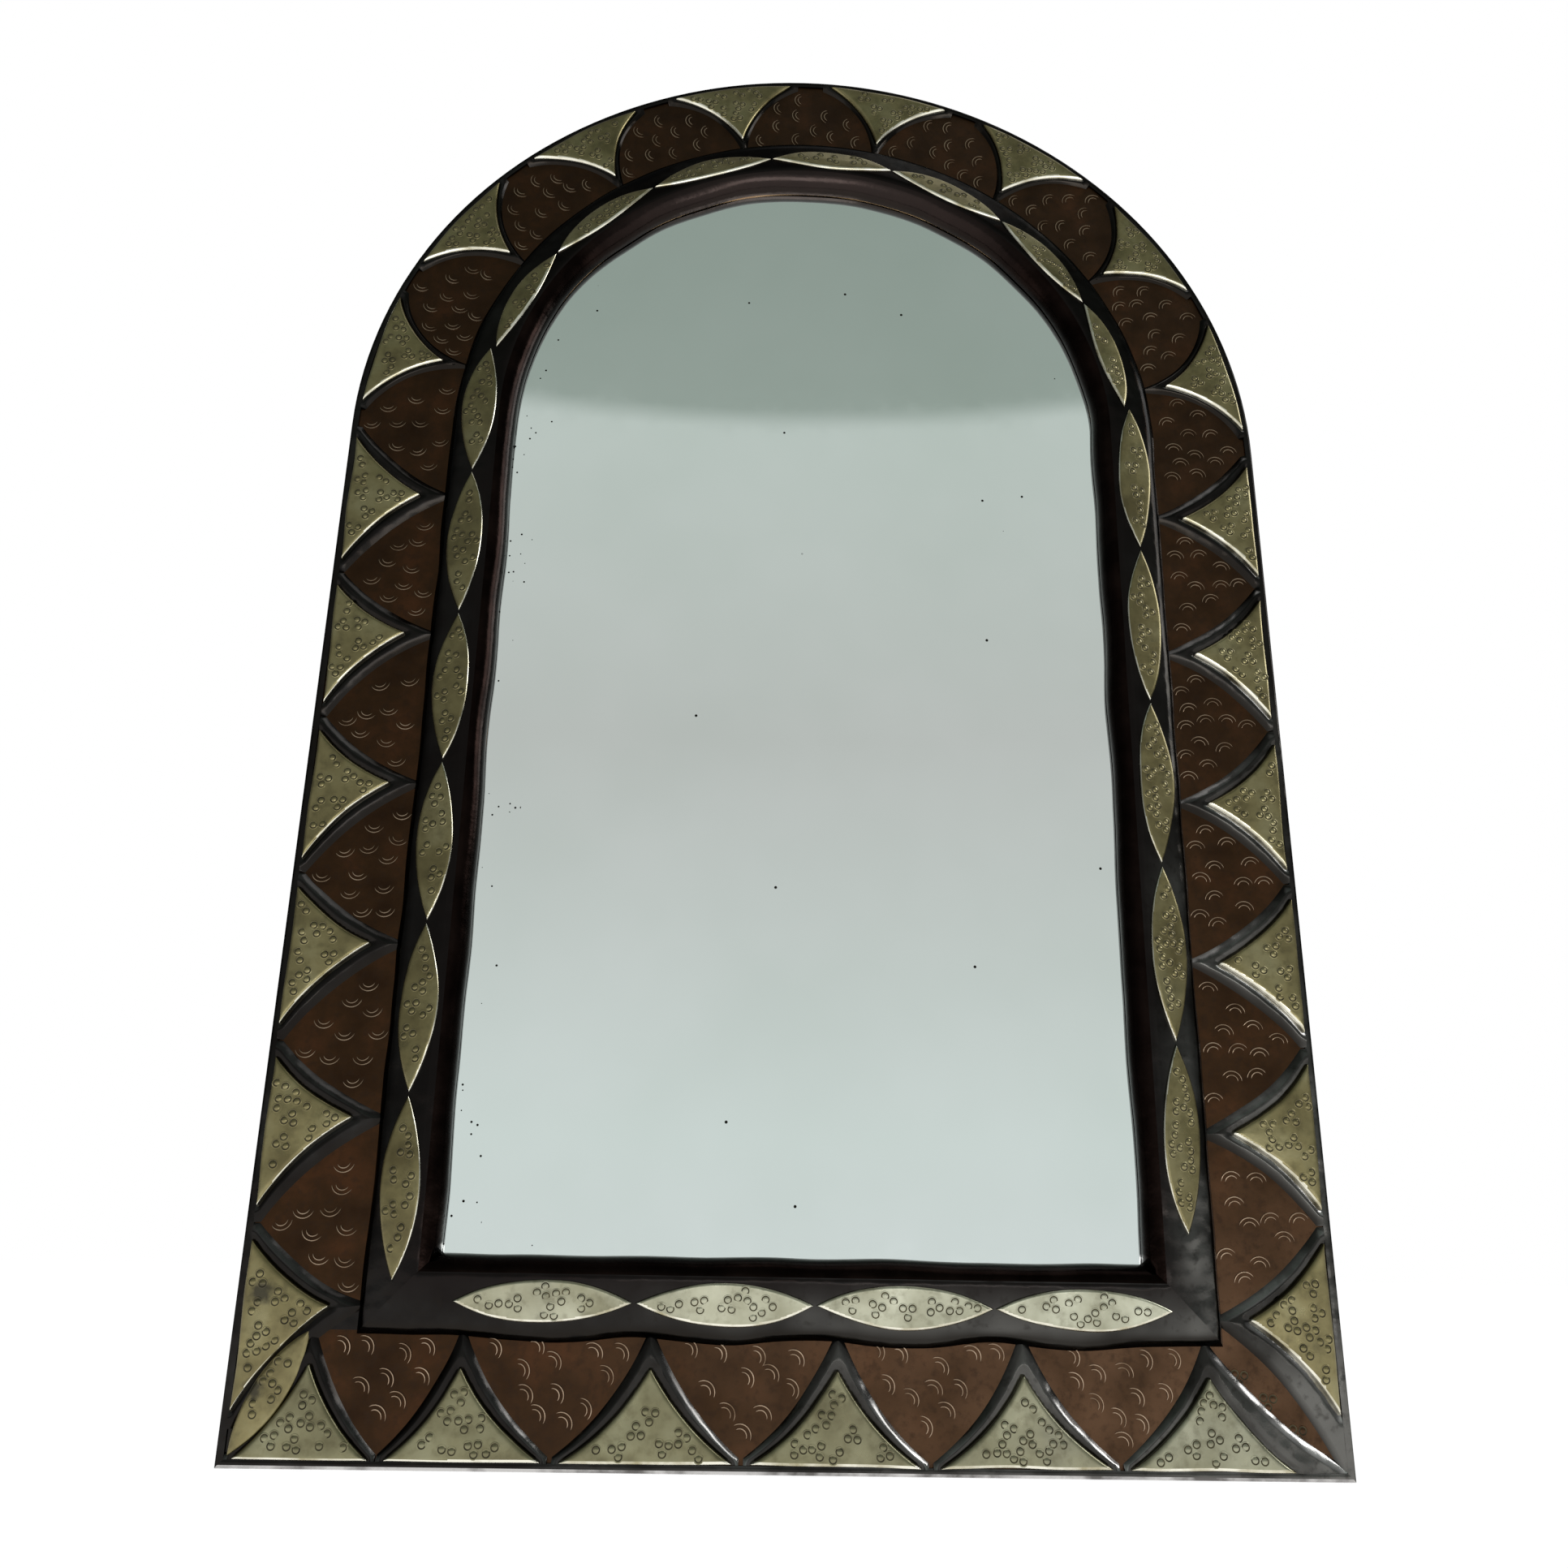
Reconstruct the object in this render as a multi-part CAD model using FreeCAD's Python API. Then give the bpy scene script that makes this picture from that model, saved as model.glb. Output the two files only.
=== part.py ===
import FreeCAD, Part
import math
import os

# Arched wall mirror: a wooden frame clad in copper scales, tin plates and raised brass plates.
# X runs across the mirror, Z up, and the front faces -Y. The wall plane is y = 0.
# "Inset" is a distance inwards from the outer edge, "depth" a distance in front of the wall.
# Heights are measured from the foot, and the finished pieces move down to the origin on the bottom rail.

Vector = FreeCAD.Vector
UP = Vector(0, 0, 1)
ACROSS = Vector(1, 0, 0)
BACKWARD = Vector(0, 1, 0)

# Overall outline: straight sides under a half-round arch
WIDTH = 390.0
HEIGHT = 600.0
ORIGIN_RISE = 30.0

# Wooden frame
WOOD_DEPTH = 18.0
CROWN_ANGLE = 60.0
DOWEL_RADIUS = 4.0
DOWEL_LENGTH = 40.0
DOWEL_SPREAD = 36.0

# Sheet metal on the wood
SHEET = 0.8
BRASS = 1.6
EDGE_LAP = 3.0
EDGE_BACK = 1.0

# Band of scales between the outer edge and the raised bead
BAND = 43.0
SIDE_SCALE_COUNT = 6
ARCH_SCALE_COUNT = 7
BOTTOM_SCALE_COUNT = 5
FOOT_STEP = 9.0
ARCH_START = 31.0
BOTTOM_LEFT = 28.0
BOTTOM_RIGHT = 49.0
FIRST_BOTTOM_WIDTH = 52.0

# Spandrel plates between the scales
PLATE_HALF = 32.0
PLATE_GAP = 0.4
LEAF_REACH = 40.0
LEFT_TIP_DROP = 5.0
TIN_WAIST_RATIO = 0.42
ARCH_TIN_WAIST_RATIO = 0.33
BRASS_WAIST_RATIO = 0.39
STEM_HALF = 1.5
STEM_RUN = 1.0
TIN_END = 2.0
BRASS_POINT_HALF = 0.4
BRASS_END = 0.5
STRIP_SIDE = 5.6
ARCH_STRIP_SIDE = 4.0
BOTTOM_STRIP_SIDE = 2.5
STRIP_CORNER = 18.0
STRIP_POINT = 10.0
LEAF_CORNER = 4.0
LEAF_LENGTH = 47.0
LEAF_LEAN_ANGLE = 30.0
LEAF_HALF = 6.2
LEAF_GAP = 0.4

# Raised bead round the glass, as the metal cover shows it, measured from the band and the wood
SHOULDER_STEP = 3.6
SHOULDER_RISE = 6.0
CREST_STEP = 19.5
CREST_RISE = 9.4
ROUND_STEP = 24.9
ROUND_RISE = 6.8
BEAD_WIDTH = 27.0
EDGE_RISE = 0.6
ARCH_LIFT = 5.0

# Pointed brass lenses on the bead
LENS_SHOULDER_GAP = 0.6
LENS_CREST_GAP = 0.5
ARCH_LENS_SHOULDER_GAP = 4.6
ARCH_LENS_CREST_GAP = 0.2
LEFT_LENS_COUNT = 6
ARCH_LENS_COUNT = 7
RIGHT_LENS_COUNT = 5
BOTTOM_LENS_COUNT = 4
LENS_FOOT_LEFT = 60.0
LENS_FOOT_RIGHT = 80.0
LENS_ARCH_LEFT = 34.0
LENS_ARCH_RIGHT = 12.0
LENS_BOTTOM_LEFT = 76.0
LENS_BOTTOM_RIGHT = 61.5
LENS_GAP = 0.6

# Glass, back board and the pins that hold them
GLASS = 3.0
BOARD = 3.0
GLASS_LAP = 10.0
GLASS_CLEARANCE = 0.5
PIN_RADIUS = 0.8
PIN_GRIP = 8.0
PIN_REACH = 8.0
SIDE_PIN_COUNT = 3
BOTTOM_PIN_COUNT = 2
HALF_ARCH_PIN_COUNT = 3

# Brads at the points of the tin plates
BRAD_RADIUS = 0.6
BRAD_LENGTH = 6.4
BRAD_HEAD_RADIUS = 1.1
BRAD_HEAD = 0.5

# Ring hanger, let into the back of the arch crown
RING_WIRE = 1.25
RING_WIDTH = 14.0
RING_CORNER = 2.5
RING_SIDE = 2.5
RING_CLEARANCE = 0.06
STRAP = 1.2
LOOP_WALL = 1.5
LOOP_LENGTH = 8.4
STRAP_WIDTH = 8.4
SCREW_RADIUS = 1.2
SCREW_LENGTH = 7.0
SCREW_HEAD_RADIUS = 2.4
SCREW_HEAD = 1.2
SCREW_SPACING = 7.5
POCKET_DEPTH = 6.0
POCKET_MARGIN = 1.5
POCKET_TOP = 8.0
HANGER_GAP = 2.4

# Values that follow from the sizes above
HALF = WIDTH / 2
SPRING = HEIGHT - HALF
ARCH_CENTRE = Vector(0, 0, SPRING)
BASE_RADIUS = HALF - BAND
BEAD_SHOULDER = BAND + SHOULDER_STEP
BEAD_CREST = BAND + CREST_STEP
BEAD_ROUND = BAND + ROUND_STEP
BEAD_EDGE = BAND + BEAD_WIDTH
LENS_OUTER = BEAD_SHOULDER + LENS_SHOULDER_GAP
LENS_INNER = BEAD_CREST - LENS_CREST_GAP
ARCH_LENS_OUTER = BEAD_SHOULDER + ARCH_LENS_SHOULDER_GAP
ARCH_LENS_INNER = BEAD_CREST - ARCH_LENS_CREST_GAP
FRAME_BORDER = BEAD_EDGE - GLASS_LAP
BRASS_POINT = BAND - STRIP_POINT
SIDE_FOOT = BAND + FOOT_STEP
ARCH_RUN = math.pi * BASE_RADIUS
WHOLE_RUN = 2 * SPRING + ARCH_RUN
BEAD_SPRING = SPRING + ARCH_LIFT
BEAD_RUN = 2 * BEAD_SPRING + ARCH_RUN
BEAD_FOOT = BAND + 1.5 * SHEET
COPPER_FRONT = WOOD_DEPTH + SHEET
TIN_FRONT = COPPER_FRONT + SHEET
SIDE_PITCH = (SPRING + ARCH_START - SIDE_FOOT) / SIDE_SCALE_COUNT
ARCH_PITCH = (ARCH_RUN - 2 * ARCH_START) / ARCH_SCALE_COUNT
RING_ARC = RING_WIDTH / 2
RING_REACH = RING_CORNER + RING_SIDE + RING_ARC + RING_WIRE
LOOP_BORE = RING_WIRE + RING_CLEARANCE
PIVOT_DEPTH = POCKET_DEPTH - LOOP_BORE - LOOP_WALL
PIVOT_HEIGHT = HEIGHT - POCKET_TOP - POCKET_MARGIN - RING_REACH
SCREW_DROP = RING_REACH + HANGER_GAP + SCREW_HEAD_RADIUS
STRAP_DROP = SCREW_DROP + SCREW_SPACING + SCREW_HEAD_RADIUS + POCKET_MARGIN
DIAGONAL = math.sqrt(0.5)


# Places on the frame

def walk(along, inset, depth, sideways=0.0):
    """Point on the way up the left side, over the arch and down the right side.

    along is measured on the line of the scale bases, sideways on the outer edge.
    """
    if along <= SPRING:
        return Vector(-HALF + inset, -depth, along + sideways)
    if along >= SPRING + ARCH_RUN:
        return Vector(HALF - inset, -depth, WHOLE_RUN - along - sideways)
    turn = (along - SPRING) / BASE_RADIUS + sideways / HALF
    radius = HALF - inset
    return Vector(-radius * math.cos(turn), -depth, SPRING + radius * math.sin(turn))


def bead_walk(along, inset, depth):
    """Point on the same way along the bead, whose arch springs higher than the outline."""
    if along <= BEAD_SPRING:
        return Vector(-HALF + inset, -depth, along)
    if along >= BEAD_SPRING + ARCH_RUN:
        return Vector(HALF - inset, -depth, BEAD_RUN - along)
    return walk(along - ARCH_LIFT, inset, depth) + UP * ARCH_LIFT


def rail(along, inset, depth, sideways=0.0):
    """Point on the bottom of the frame, with along as the distance from the left edge."""
    return Vector(-HALF + along + sideways, -depth, inset)


def on_arch(place, along):
    return place is walk and SPRING < along < SPRING + ARCH_RUN


def foot_inset(place, along):
    """Inset of the bead's outer foot, which comes nearer to the outer edge over the arch."""
    if not on_arch(place, along):
        return BAND
    turn = (along - SPRING) / BASE_RADIUS
    aside = ARCH_LIFT * math.cos(turn)
    return HALF - ARCH_LIFT * math.sin(turn) - math.sqrt(BASE_RADIUS ** 2 - aside ** 2)


def line(start, end):
    return Part.LineSegment(start, end).toShape()


def arc(start, middle, end):
    return Part.Arc(start, middle, end).toShape()


def side_edges(inset, depth, start, end):
    """Edges along the walk at one inset, straight on the sides and round on the arch."""
    stops = [start]
    for spring in sorted((SPRING, SPRING + ARCH_RUN), reverse=end < start):
        if min(start, end) < spring < max(start, end):
            stops.append(spring)
    stops.append(end)
    edges = []
    for first, last in zip(stops, stops[1:]):
        middle = (first + last) / 2
        ends = walk(first, inset, depth), walk(last, inset, depth)
        if SPRING < middle < SPRING + ARCH_RUN:
            edges.append(arc(ends[0], walk(middle, inset, depth), ends[1]))
        else:
            edges.append(line(*ends))
    return edges


def slab(edges, thickness):
    """Flat plate whose back is the outline, built towards the front."""
    return Part.Face(Part.Wire(edges)).extrude(Vector(0, -thickness, 0))


def polygon_slab(corners, depth, thickness):
    points = [Vector(x, -depth, z) for x, z in corners]
    return slab([line(a, b) for a, b in zip(points, points[1:] + points[:1])], thickness)


def arch_slab(inset, depth, thickness, spring):
    """Plate of the whole arched outline, inset from the outer edge."""
    half = HALF - inset
    feet = Vector(-half, -depth, inset), Vector(half, -depth, inset)
    springs = Vector(half, -depth, spring), Vector(-half, -depth, spring)
    crown = Vector(0, -depth, spring + half)
    edges = [line(*feet), line(feet[1], springs[0]), arc(springs[0], crown, springs[1])]
    return slab(edges + [line(springs[1], feet[0])], thickness)


# Runs of a constant section: a section is a function that turns a placing rule into a closed face

def left_run(section, spring):
    face = section(lambda inset, depth: Vector(-HALF + inset, -depth, 0))
    return face.extrude(UP * spring).common(mitre_region(-1))


def right_run(section, spring):
    face = section(lambda inset, depth: Vector(HALF - inset, -depth, 0))
    return face.extrude(UP * spring).common(mitre_region(1))


def bottom_run(section):
    face = section(lambda inset, depth: Vector(-HALF, -depth, inset))
    return face.extrude(ACROSS * WIDTH).common(mitre_region(0))


def arch_run(section, spring, start=0.0, sweep=180.0):
    centre = UP * spring
    face = section(lambda inset, depth: Vector(-HALF + inset, -depth, spring))
    face.rotate(centre, BACKWARD, start)
    return face.revolve(centre, BACKWARD, sweep)


def mitre_region(side):
    """Block that ends at the corner mitres: left of them, right of them or below them."""
    reach = WOOD_DEPTH + CREST_RISE + BRASS + SHEET
    if side == 0:
        corners = [(-HALF, 0), (HALF, 0), (0, HALF)]
    else:
        corners = [(side * HALF, 0), (side * HALF, HEIGHT), (0, HEIGHT), (0, HALF)]
    return polygon_slab(corners, 0, reach)


def section_face(place, points):
    """Face of a straight-sided section given as inset and depth."""
    corners = [place(inset, depth) for inset, depth in points]
    return Part.Face(Part.makePolygon(corners + corners[:1]))


def bead_surface(place, inwards):
    """Edges over the bead from its outer foot to the glass, moved inwards by the sheet's thickness."""
    foot = place(BAND if inwards == 0 else BEAD_FOOT, COPPER_FRONT)
    shoulder = place(BEAD_SHOULDER + inwards / 2, WOOD_DEPTH + SHOULDER_RISE - inwards)
    crest = place(BEAD_CREST, WOOD_DEPTH + CREST_RISE - inwards)
    rounding = place(BEAD_ROUND - inwards * DIAGONAL, WOOD_DEPTH + ROUND_RISE - inwards * DIAGONAL)
    edge = place(BEAD_EDGE - inwards, WOOD_DEPTH + EDGE_RISE)
    return [line(foot, shoulder), line(shoulder, crest), arc(crest, rounding, edge)], foot, edge


def bead_section(place):
    """Wooden bead that stands on the frame and overhangs the glass."""
    edges, foot, edge = bead_surface(place, SHEET)
    inner_base = place(BEAD_EDGE - SHEET, WOOD_DEPTH)
    outer_base = place(BEAD_FOOT, WOOD_DEPTH)
    edges += [line(edge, inner_base), line(inner_base, outer_base), line(outer_base, foot)]
    return Part.Face(Part.Wire(edges))


def cover_section(place):
    """Tin sheet bent over the bead."""
    outside, foot, edge = bead_surface(place, 0)
    inside, inner_foot, inner_edge = bead_surface(place, SHEET)
    edges = outside + [line(edge, inner_edge)] + inside[::-1] + [line(inner_foot, foot)]
    return Part.Face(Part.Wire(Part.__sortEdges__(edges)))


def lens_section(place):
    """Layer on the sloping face of the bead, from which the lenses are cut."""
    low, high = WOOD_DEPTH + SHOULDER_RISE, WOOD_DEPTH + CREST_RISE
    return section_face(place, [
        (BEAD_SHOULDER, low), (BEAD_CREST, high), (BEAD_CREST, high + BRASS), (BEAD_SHOULDER, low + BRASS)])


def edge_section(place):
    """Tin strip bent round the outer edge and over the front, ending just short of the wall."""
    return section_face(place, [
        (0, EDGE_BACK), (SHEET, EDGE_BACK), (SHEET, COPPER_FRONT), (EDGE_LAP, COPPER_FRONT),
        (EDGE_LAP, TIN_FRONT), (0, TIN_FRONT)])


def wood_section(place):
    return section_face(place, [
        (SHEET, 0), (FRAME_BORDER, 0), (FRAME_BORDER, WOOD_DEPTH), (SHEET, WOOD_DEPTH)])


# Where the scales meet

def side_valleys():
    """Places along the walk where two scales meet, sides and arch in turn."""
    left = [SIDE_FOOT + k * SIDE_PITCH for k in range(SIDE_SCALE_COUNT)]
    arch = [SPRING + ARCH_START + k * ARCH_PITCH for k in range(ARCH_SCALE_COUNT + 1)]
    right = [WHOLE_RUN - along for along in reversed(left)]
    return left, arch, right


def bottom_valleys():
    """Places along the bottom rail where two scales meet; the first scale is a narrow one."""
    second = BOTTOM_LEFT + FIRST_BOTTOM_WIDTH
    pitch = (WIDTH - BOTTOM_RIGHT - second) / (BOTTOM_SCALE_COUNT - 1)
    return [BOTTOM_LEFT] + [second + k * pitch for k in range(BOTTOM_SCALE_COUNT)]


def plate_reach(valleys, ends, strips, stretch=1.0, tip_drop=0.0):
    """How far the tin and then the brass of each spandrel spread along the outer edge from its valley.

    ends are the outward spreads of the first and the last plate, and strips the widths of tin beside the
    brass, the second one at the last end. tip_drop moves the tips of the scales back from the middle.
    """
    halves = [min(PLATE_HALF, (b - a) * stretch / 2) for a, b in zip(valleys, valleys[1:])]
    before = [ends[0]] + [half + tip_drop for half in halves]
    after = [half - tip_drop for half in halves] + [ends[1]]
    tin = [(a - PLATE_GAP / 2, b - PLATE_GAP / 2) for a, b in zip(before, after)]
    after_strips = [strips[0]] * len(halves) + [strips[1]]
    brass = [(a - strips[0], b - strip) for (a, b), strip in zip(tin, after_strips)]
    return list(zip(valleys, tin, brass))


def spandrels():
    """Every spandrel as its placing rule, its valley and the spread of its tin and its brass, by group."""
    left, arch, right = side_valleys()
    stretch = HALF / BASE_RADIUS
    below_spring = min(PLATE_HALF, SPRING - left[-1])
    above_spring = min(PLATE_HALF, ARCH_START * stretch)
    side = plate_reach(left, (LEAF_REACH, below_spring), (STRIP_SIDE, STRIP_SIDE), tip_drop=LEFT_TIP_DROP)
    side += plate_reach(right, (below_spring, SIDE_FOOT - EDGE_LAP), (STRIP_SIDE, STRIP_CORNER))
    over = plate_reach(arch, (above_spring, above_spring), (ARCH_STRIP_SIDE, ARCH_STRIP_SIDE), stretch)
    bottom_ends = BOTTOM_LEFT - EDGE_LAP, BOTTOM_RIGHT - EDGE_LAP
    bottom = plate_reach(bottom_valleys(), bottom_ends, (BOTTOM_STRIP_SIDE, STRIP_CORNER))
    return {
        "side": [(walk, *spread) for spread in side],
        "arch": [(walk, *spread) for spread in over],
        "bottom": [(rail, *spread) for spread in bottom]}


def spandrel_plate(place, valley, spread, outline, depth, thickness):
    """Plate with two hollow sides, short straight ends and its blunt point inwards at the valley."""
    before, after = spread
    end, point, point_half, waist = outline
    middle = (EDGE_LAP + point) / 2
    first = place(valley, EDGE_LAP, depth, -before)
    last = place(valley, EDGE_LAP, depth, after)
    first_end = place(valley, EDGE_LAP + end, depth, -before)
    last_end = place(valley, EDGE_LAP + end, depth, after)
    tips = place(valley, point, depth, -point_half), place(valley, point, depth, point_half)
    outer_middle = place(valley, EDGE_LAP, depth, (after - before) / 2)
    outer = arc(last, outer_middle, first) if on_arch(place, valley) else line(last, first)
    first_side = arc(first_end, place(valley, middle, depth, -before * waist), tips[0])
    last_side = arc(tips[1], place(valley, middle, depth, after * waist), last_end)
    return slab([
        line(first, first_end), first_side, line(*tips), last_side, line(last_end, last), outer], thickness)


def tin_plate(place, valley, spread):
    """Tin spandrel whose stem runs up to the foot of the bead."""
    point = foot_inset(place, valley) + STEM_RUN
    waist = ARCH_TIN_WAIST_RATIO if on_arch(place, valley) else TIN_WAIST_RATIO
    plate = spandrel_plate(place, valley, spread, (TIN_END, point, STEM_HALF, waist), COPPER_FRONT, SHEET)
    return plate.cut(arch_slab(BAND, COPPER_FRONT, SHEET, BEAD_SPRING))


def tin_plates():
    """Tin spandrels by group; in the lower corners the side plates go over the bottom ones."""
    plates = {
        group: [tin_plate(place, valley, spread) for place, valley, spread, _ in row]
        for group, row in spandrels().items()}
    corners = [plates["side"][0], plates["side"][-1]]
    plates["bottom"] = [plate.cut(corners) for plate in plates["bottom"]]
    return plates


def brass_plates(group):
    """Brass on top of the tin, kept clear of the corner leaf."""
    leaf_room = corner_leaf(LEAF_HALF + LEAF_GAP)
    outline = BRASS_END, BRASS_POINT, BRASS_POINT_HALF, BRASS_WAIST_RATIO
    return [
        spandrel_plate(place, valley, spread, outline, TIN_FRONT, BRASS).cut(leaf_room)
        for place, valley, _, spread in spandrels()[group]]


# Copper under the plates

def side_scale(start, end):
    """Copper plate of one scale, from valley to valley and up to the bead."""
    edges = side_edges(SHEET, WOOD_DEPTH, start, end)
    edges.append(line(walk(end, SHEET, WOOD_DEPTH), walk(end, BEAD_SHOULDER, WOOD_DEPTH)))
    edges += side_edges(BEAD_SHOULDER, WOOD_DEPTH, end, start)
    edges.append(line(walk(start, BEAD_SHOULDER, WOOD_DEPTH), walk(start, SHEET, WOOD_DEPTH)))
    return slab(edges, SHEET).cut(arch_slab(BEAD_FOOT, WOOD_DEPTH, SHEET, BEAD_SPRING))


def copper_scales():
    left, arch, right = side_valleys()
    bottom = bottom_valleys()
    scales = {}
    for name, valleys in (
            ("left", left + arch[:1]), ("arch", arch), ("right", [arch[-1]] + right)):
        for k, (start, end) in enumerate(zip(valleys, valleys[1:]), 1):
            scales[f"{name}_scale_{k}"] = side_scale(start, end)
    for k, (start, end) in enumerate(zip(bottom, bottom[1:]), 1):
        corners = [(x - HALF, z) for x, z in (
            (start, SHEET), (end, SHEET), (end, BEAD_FOOT), (start, BEAD_FOOT))]
        scales[f"bottom_scale_{k}"] = polygon_slab(corners, WOOD_DEPTH, SHEET)
    return scales


def corner_plate(side):
    """Plate under the corner, between the last side scale and the last bottom scale."""
    valley = bottom_valleys()[0] - HALF if side < 0 else bottom_valleys()[-1] - HALF
    outer = side * (HALF - SHEET)
    inner = side * (HALF - BEAD_FOOT)
    corners = [
        (valley, SHEET), (outer, SHEET), (outer, SIDE_FOOT), (inner, SIDE_FOOT), (inner, BEAD_FOOT),
        (valley, BEAD_FOOT)]
    return polygon_slab(corners, WOOD_DEPTH, SHEET)


def corner_leaf(half):
    """Brass leaf that leans from the lower left corner towards the glass."""
    lean = math.radians(LEAF_LEAN_ANGLE)
    axis = Vector(math.sin(lean), 0, math.cos(lean))
    aside = Vector(-math.cos(lean), 0, math.sin(lean)) * half
    start = Vector(-HALF + LEAF_CORNER, -TIN_FRONT, LEAF_CORNER)
    middle = start + axis * (LEAF_LENGTH / 2)
    end = start + axis * LEAF_LENGTH
    return slab([arc(start, middle + aside, end), arc(end, middle - aside, start)], BRASS)


# Lenses on the bead

def lens_outline(place, start, end, width, depth):
    outer, inner = width
    centre = (outer + inner) / 2
    middle = (start + end) / 2
    tips = place(start, centre, depth), place(end, centre, depth)
    return [
        arc(tips[0], place(middle, outer, depth), tips[1]),
        arc(tips[1], place(middle, inner, depth), tips[0])]


def lenses(layer, place, start, end, count, width):
    """Row of lenses cut from a layer on the bead's face."""
    pitch = (end - start) / count
    height = CREST_RISE + 2 * BRASS
    row = []
    for k in range(count):
        first = start + k * pitch + LENS_GAP / 2
        cutter = slab(lens_outline(place, first, first + pitch - LENS_GAP, width, WOOD_DEPTH), height)
        row += layer.common(cutter).Solids
    return row


def side_lens_layer():
    sides = [left_run(lens_section, BEAD_SPRING), right_run(lens_section, BEAD_SPRING)]
    return arch_run(lens_section, BEAD_SPRING).fuse(sides)


def lens_groups():
    layer = side_lens_layer()
    arch_start, arch_end = BEAD_SPRING + LENS_ARCH_LEFT, BEAD_SPRING + ARCH_RUN - LENS_ARCH_RIGHT
    width, arch_width = (LENS_OUTER, LENS_INNER), (ARCH_LENS_OUTER, ARCH_LENS_INNER)
    side = lenses(layer, bead_walk, LENS_FOOT_LEFT, arch_start, LEFT_LENS_COUNT, width)
    side += lenses(layer, bead_walk, arch_end, BEAD_RUN - LENS_FOOT_RIGHT, RIGHT_LENS_COUNT, width)
    arch = lenses(layer, bead_walk, arch_start, arch_end, ARCH_LENS_COUNT, arch_width)
    bottom = lenses(
        bottom_run(lens_section), rail, LENS_BOTTOM_LEFT, WIDTH - LENS_BOTTOM_RIGHT, BOTTOM_LENS_COUNT, width)
    return {"side_lenses": side, "arch_lenses": arch, "bottom_lenses": bottom}


# Fasteners

def brads():
    """Small nails at the points of the tin plates, midway between the brass and the bead.

    The first bottom plate has none, because the leaf lies beside its point.
    """
    rows = spandrels()
    nails = []
    for place, valley, _, _ in rows["side"] + rows["arch"] + rows["bottom"][1:]:
        seat = place(valley, (BRASS_POINT + foot_inset(place, valley)) / 2, TIN_FRONT)
        head = Part.makeCylinder(BRAD_HEAD_RADIUS, BRAD_HEAD, seat, -BACKWARD)
        shank = Part.makeCylinder(BRAD_RADIUS, BRAD_LENGTH, seat, BACKWARD)
        nails.append(head.fuse(shank).removeSplitter())
    return nails


def dowel(middle, direction):
    return Part.makeCylinder(DOWEL_RADIUS, DOWEL_LENGTH, middle - direction * (DOWEL_LENGTH / 2), direction)


def dowels():
    """Glued dowels across every joint of the wooden frame."""
    depth = WOOD_DEPTH / 2
    pegs = []
    for offset in (-DOWEL_SPREAD / 2, DOWEL_SPREAD / 2):
        inset = (SHEET + FRAME_BORDER) / 2 + offset
        for side in (-1, 1):
            pegs.append(dowel(Vector(side * (HALF - FRAME_BORDER), -depth, inset), ACROSS))
            pegs.append(dowel(Vector(side * (HALF - inset), -depth, SPRING), UP))
            lean = math.radians(CROWN_ANGLE / 2)
            outward = Vector(side * math.sin(lean), 0, math.cos(lean))
            along = Vector(math.cos(lean), 0, -side * math.sin(lean))
            place = ARCH_CENTRE + outward * (HALF - inset)
            pegs.append(dowel(place - BACKWARD * depth, along))
    return pegs


def board_pins():
    """Pins driven into the frame behind the back board."""
    depth = WOOD_DEPTH - GLASS - BOARD - PIN_RADIUS
    reach = PIN_GRIP + PIN_REACH
    pins = []

    def drive(wall, inward):
        start = wall - inward * PIN_GRIP - BACKWARD * depth
        pins.append(Part.makeCylinder(PIN_RADIUS, reach, start, inward))

    opening = HALF - FRAME_BORDER
    for k in range(SIDE_PIN_COUNT):
        height = FRAME_BORDER + (SPRING - FRAME_BORDER) * (k + 0.5) / SIDE_PIN_COUNT
        drive(Vector(-opening, 0, height), ACROSS)
        drive(Vector(opening, 0, height), -ACROSS)
    for k in range(BOTTOM_PIN_COUNT):
        drive(Vector(-opening + 2 * opening * (k + 0.5) / BOTTOM_PIN_COUNT, 0, FRAME_BORDER), UP)
    for k in range(HALF_ARCH_PIN_COUNT):
        turn = math.pi / 2 * (k + 0.5) / HALF_ARCH_PIN_COUNT
        for side in (-1, 1):
            outward = Vector(side * math.cos(turn), 0, math.sin(turn))
            drive(ARCH_CENTRE + outward * opening, -outward)
    return pins


# Ring hanger

def pivot():
    return Vector(0, -PIVOT_DEPTH, PIVOT_HEIGHT)


def hanger_ring():
    """D-shaped wire ring that hangs from the strap's loop."""
    half = RING_WIDTH / 2
    top, shoulder = 0.0, -RING_CORNER
    side_end = shoulder - RING_SIDE

    def at(x, z):
        return pivot() + Vector(x, 0, z)

    def tube(start, end):
        run = end - start
        return Part.makeCylinder(RING_WIRE, run.Length, start, run)

    def bend(centre, radius, start, end):
        """Part of a torus in the XZ plane, between two angles measured from +X towards +Z."""
        ring = Part.makeTorus(radius, RING_WIRE, Vector(0, 0, 0), UP, -180, 180, end - start)
        ring.rotate(Vector(0, 0, 0), UP, start)
        ring.rotate(Vector(0, 0, 0), ACROSS, 90)
        ring.translate(centre)
        return ring

    bar = tube(at(-half + RING_CORNER, top), at(half - RING_CORNER, top))
    pieces = [
        bend(at(half - RING_CORNER, shoulder), RING_CORNER, 0, 90),
        bend(at(-half + RING_CORNER, shoulder), RING_CORNER, 90, 180),
        tube(at(-half, side_end), at(-half, shoulder)),
        tube(at(half, side_end), at(half, shoulder)),
        bend(at(0, side_end), half, 180, 360)]
    return bar.fuse(pieces).removeSplitter()


def screw_places():
    drop = PIVOT_HEIGHT - SCREW_DROP
    return [Vector(0, -(POCKET_DEPTH - STRAP), drop - k * SCREW_SPACING) for k in range(2)]


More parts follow.
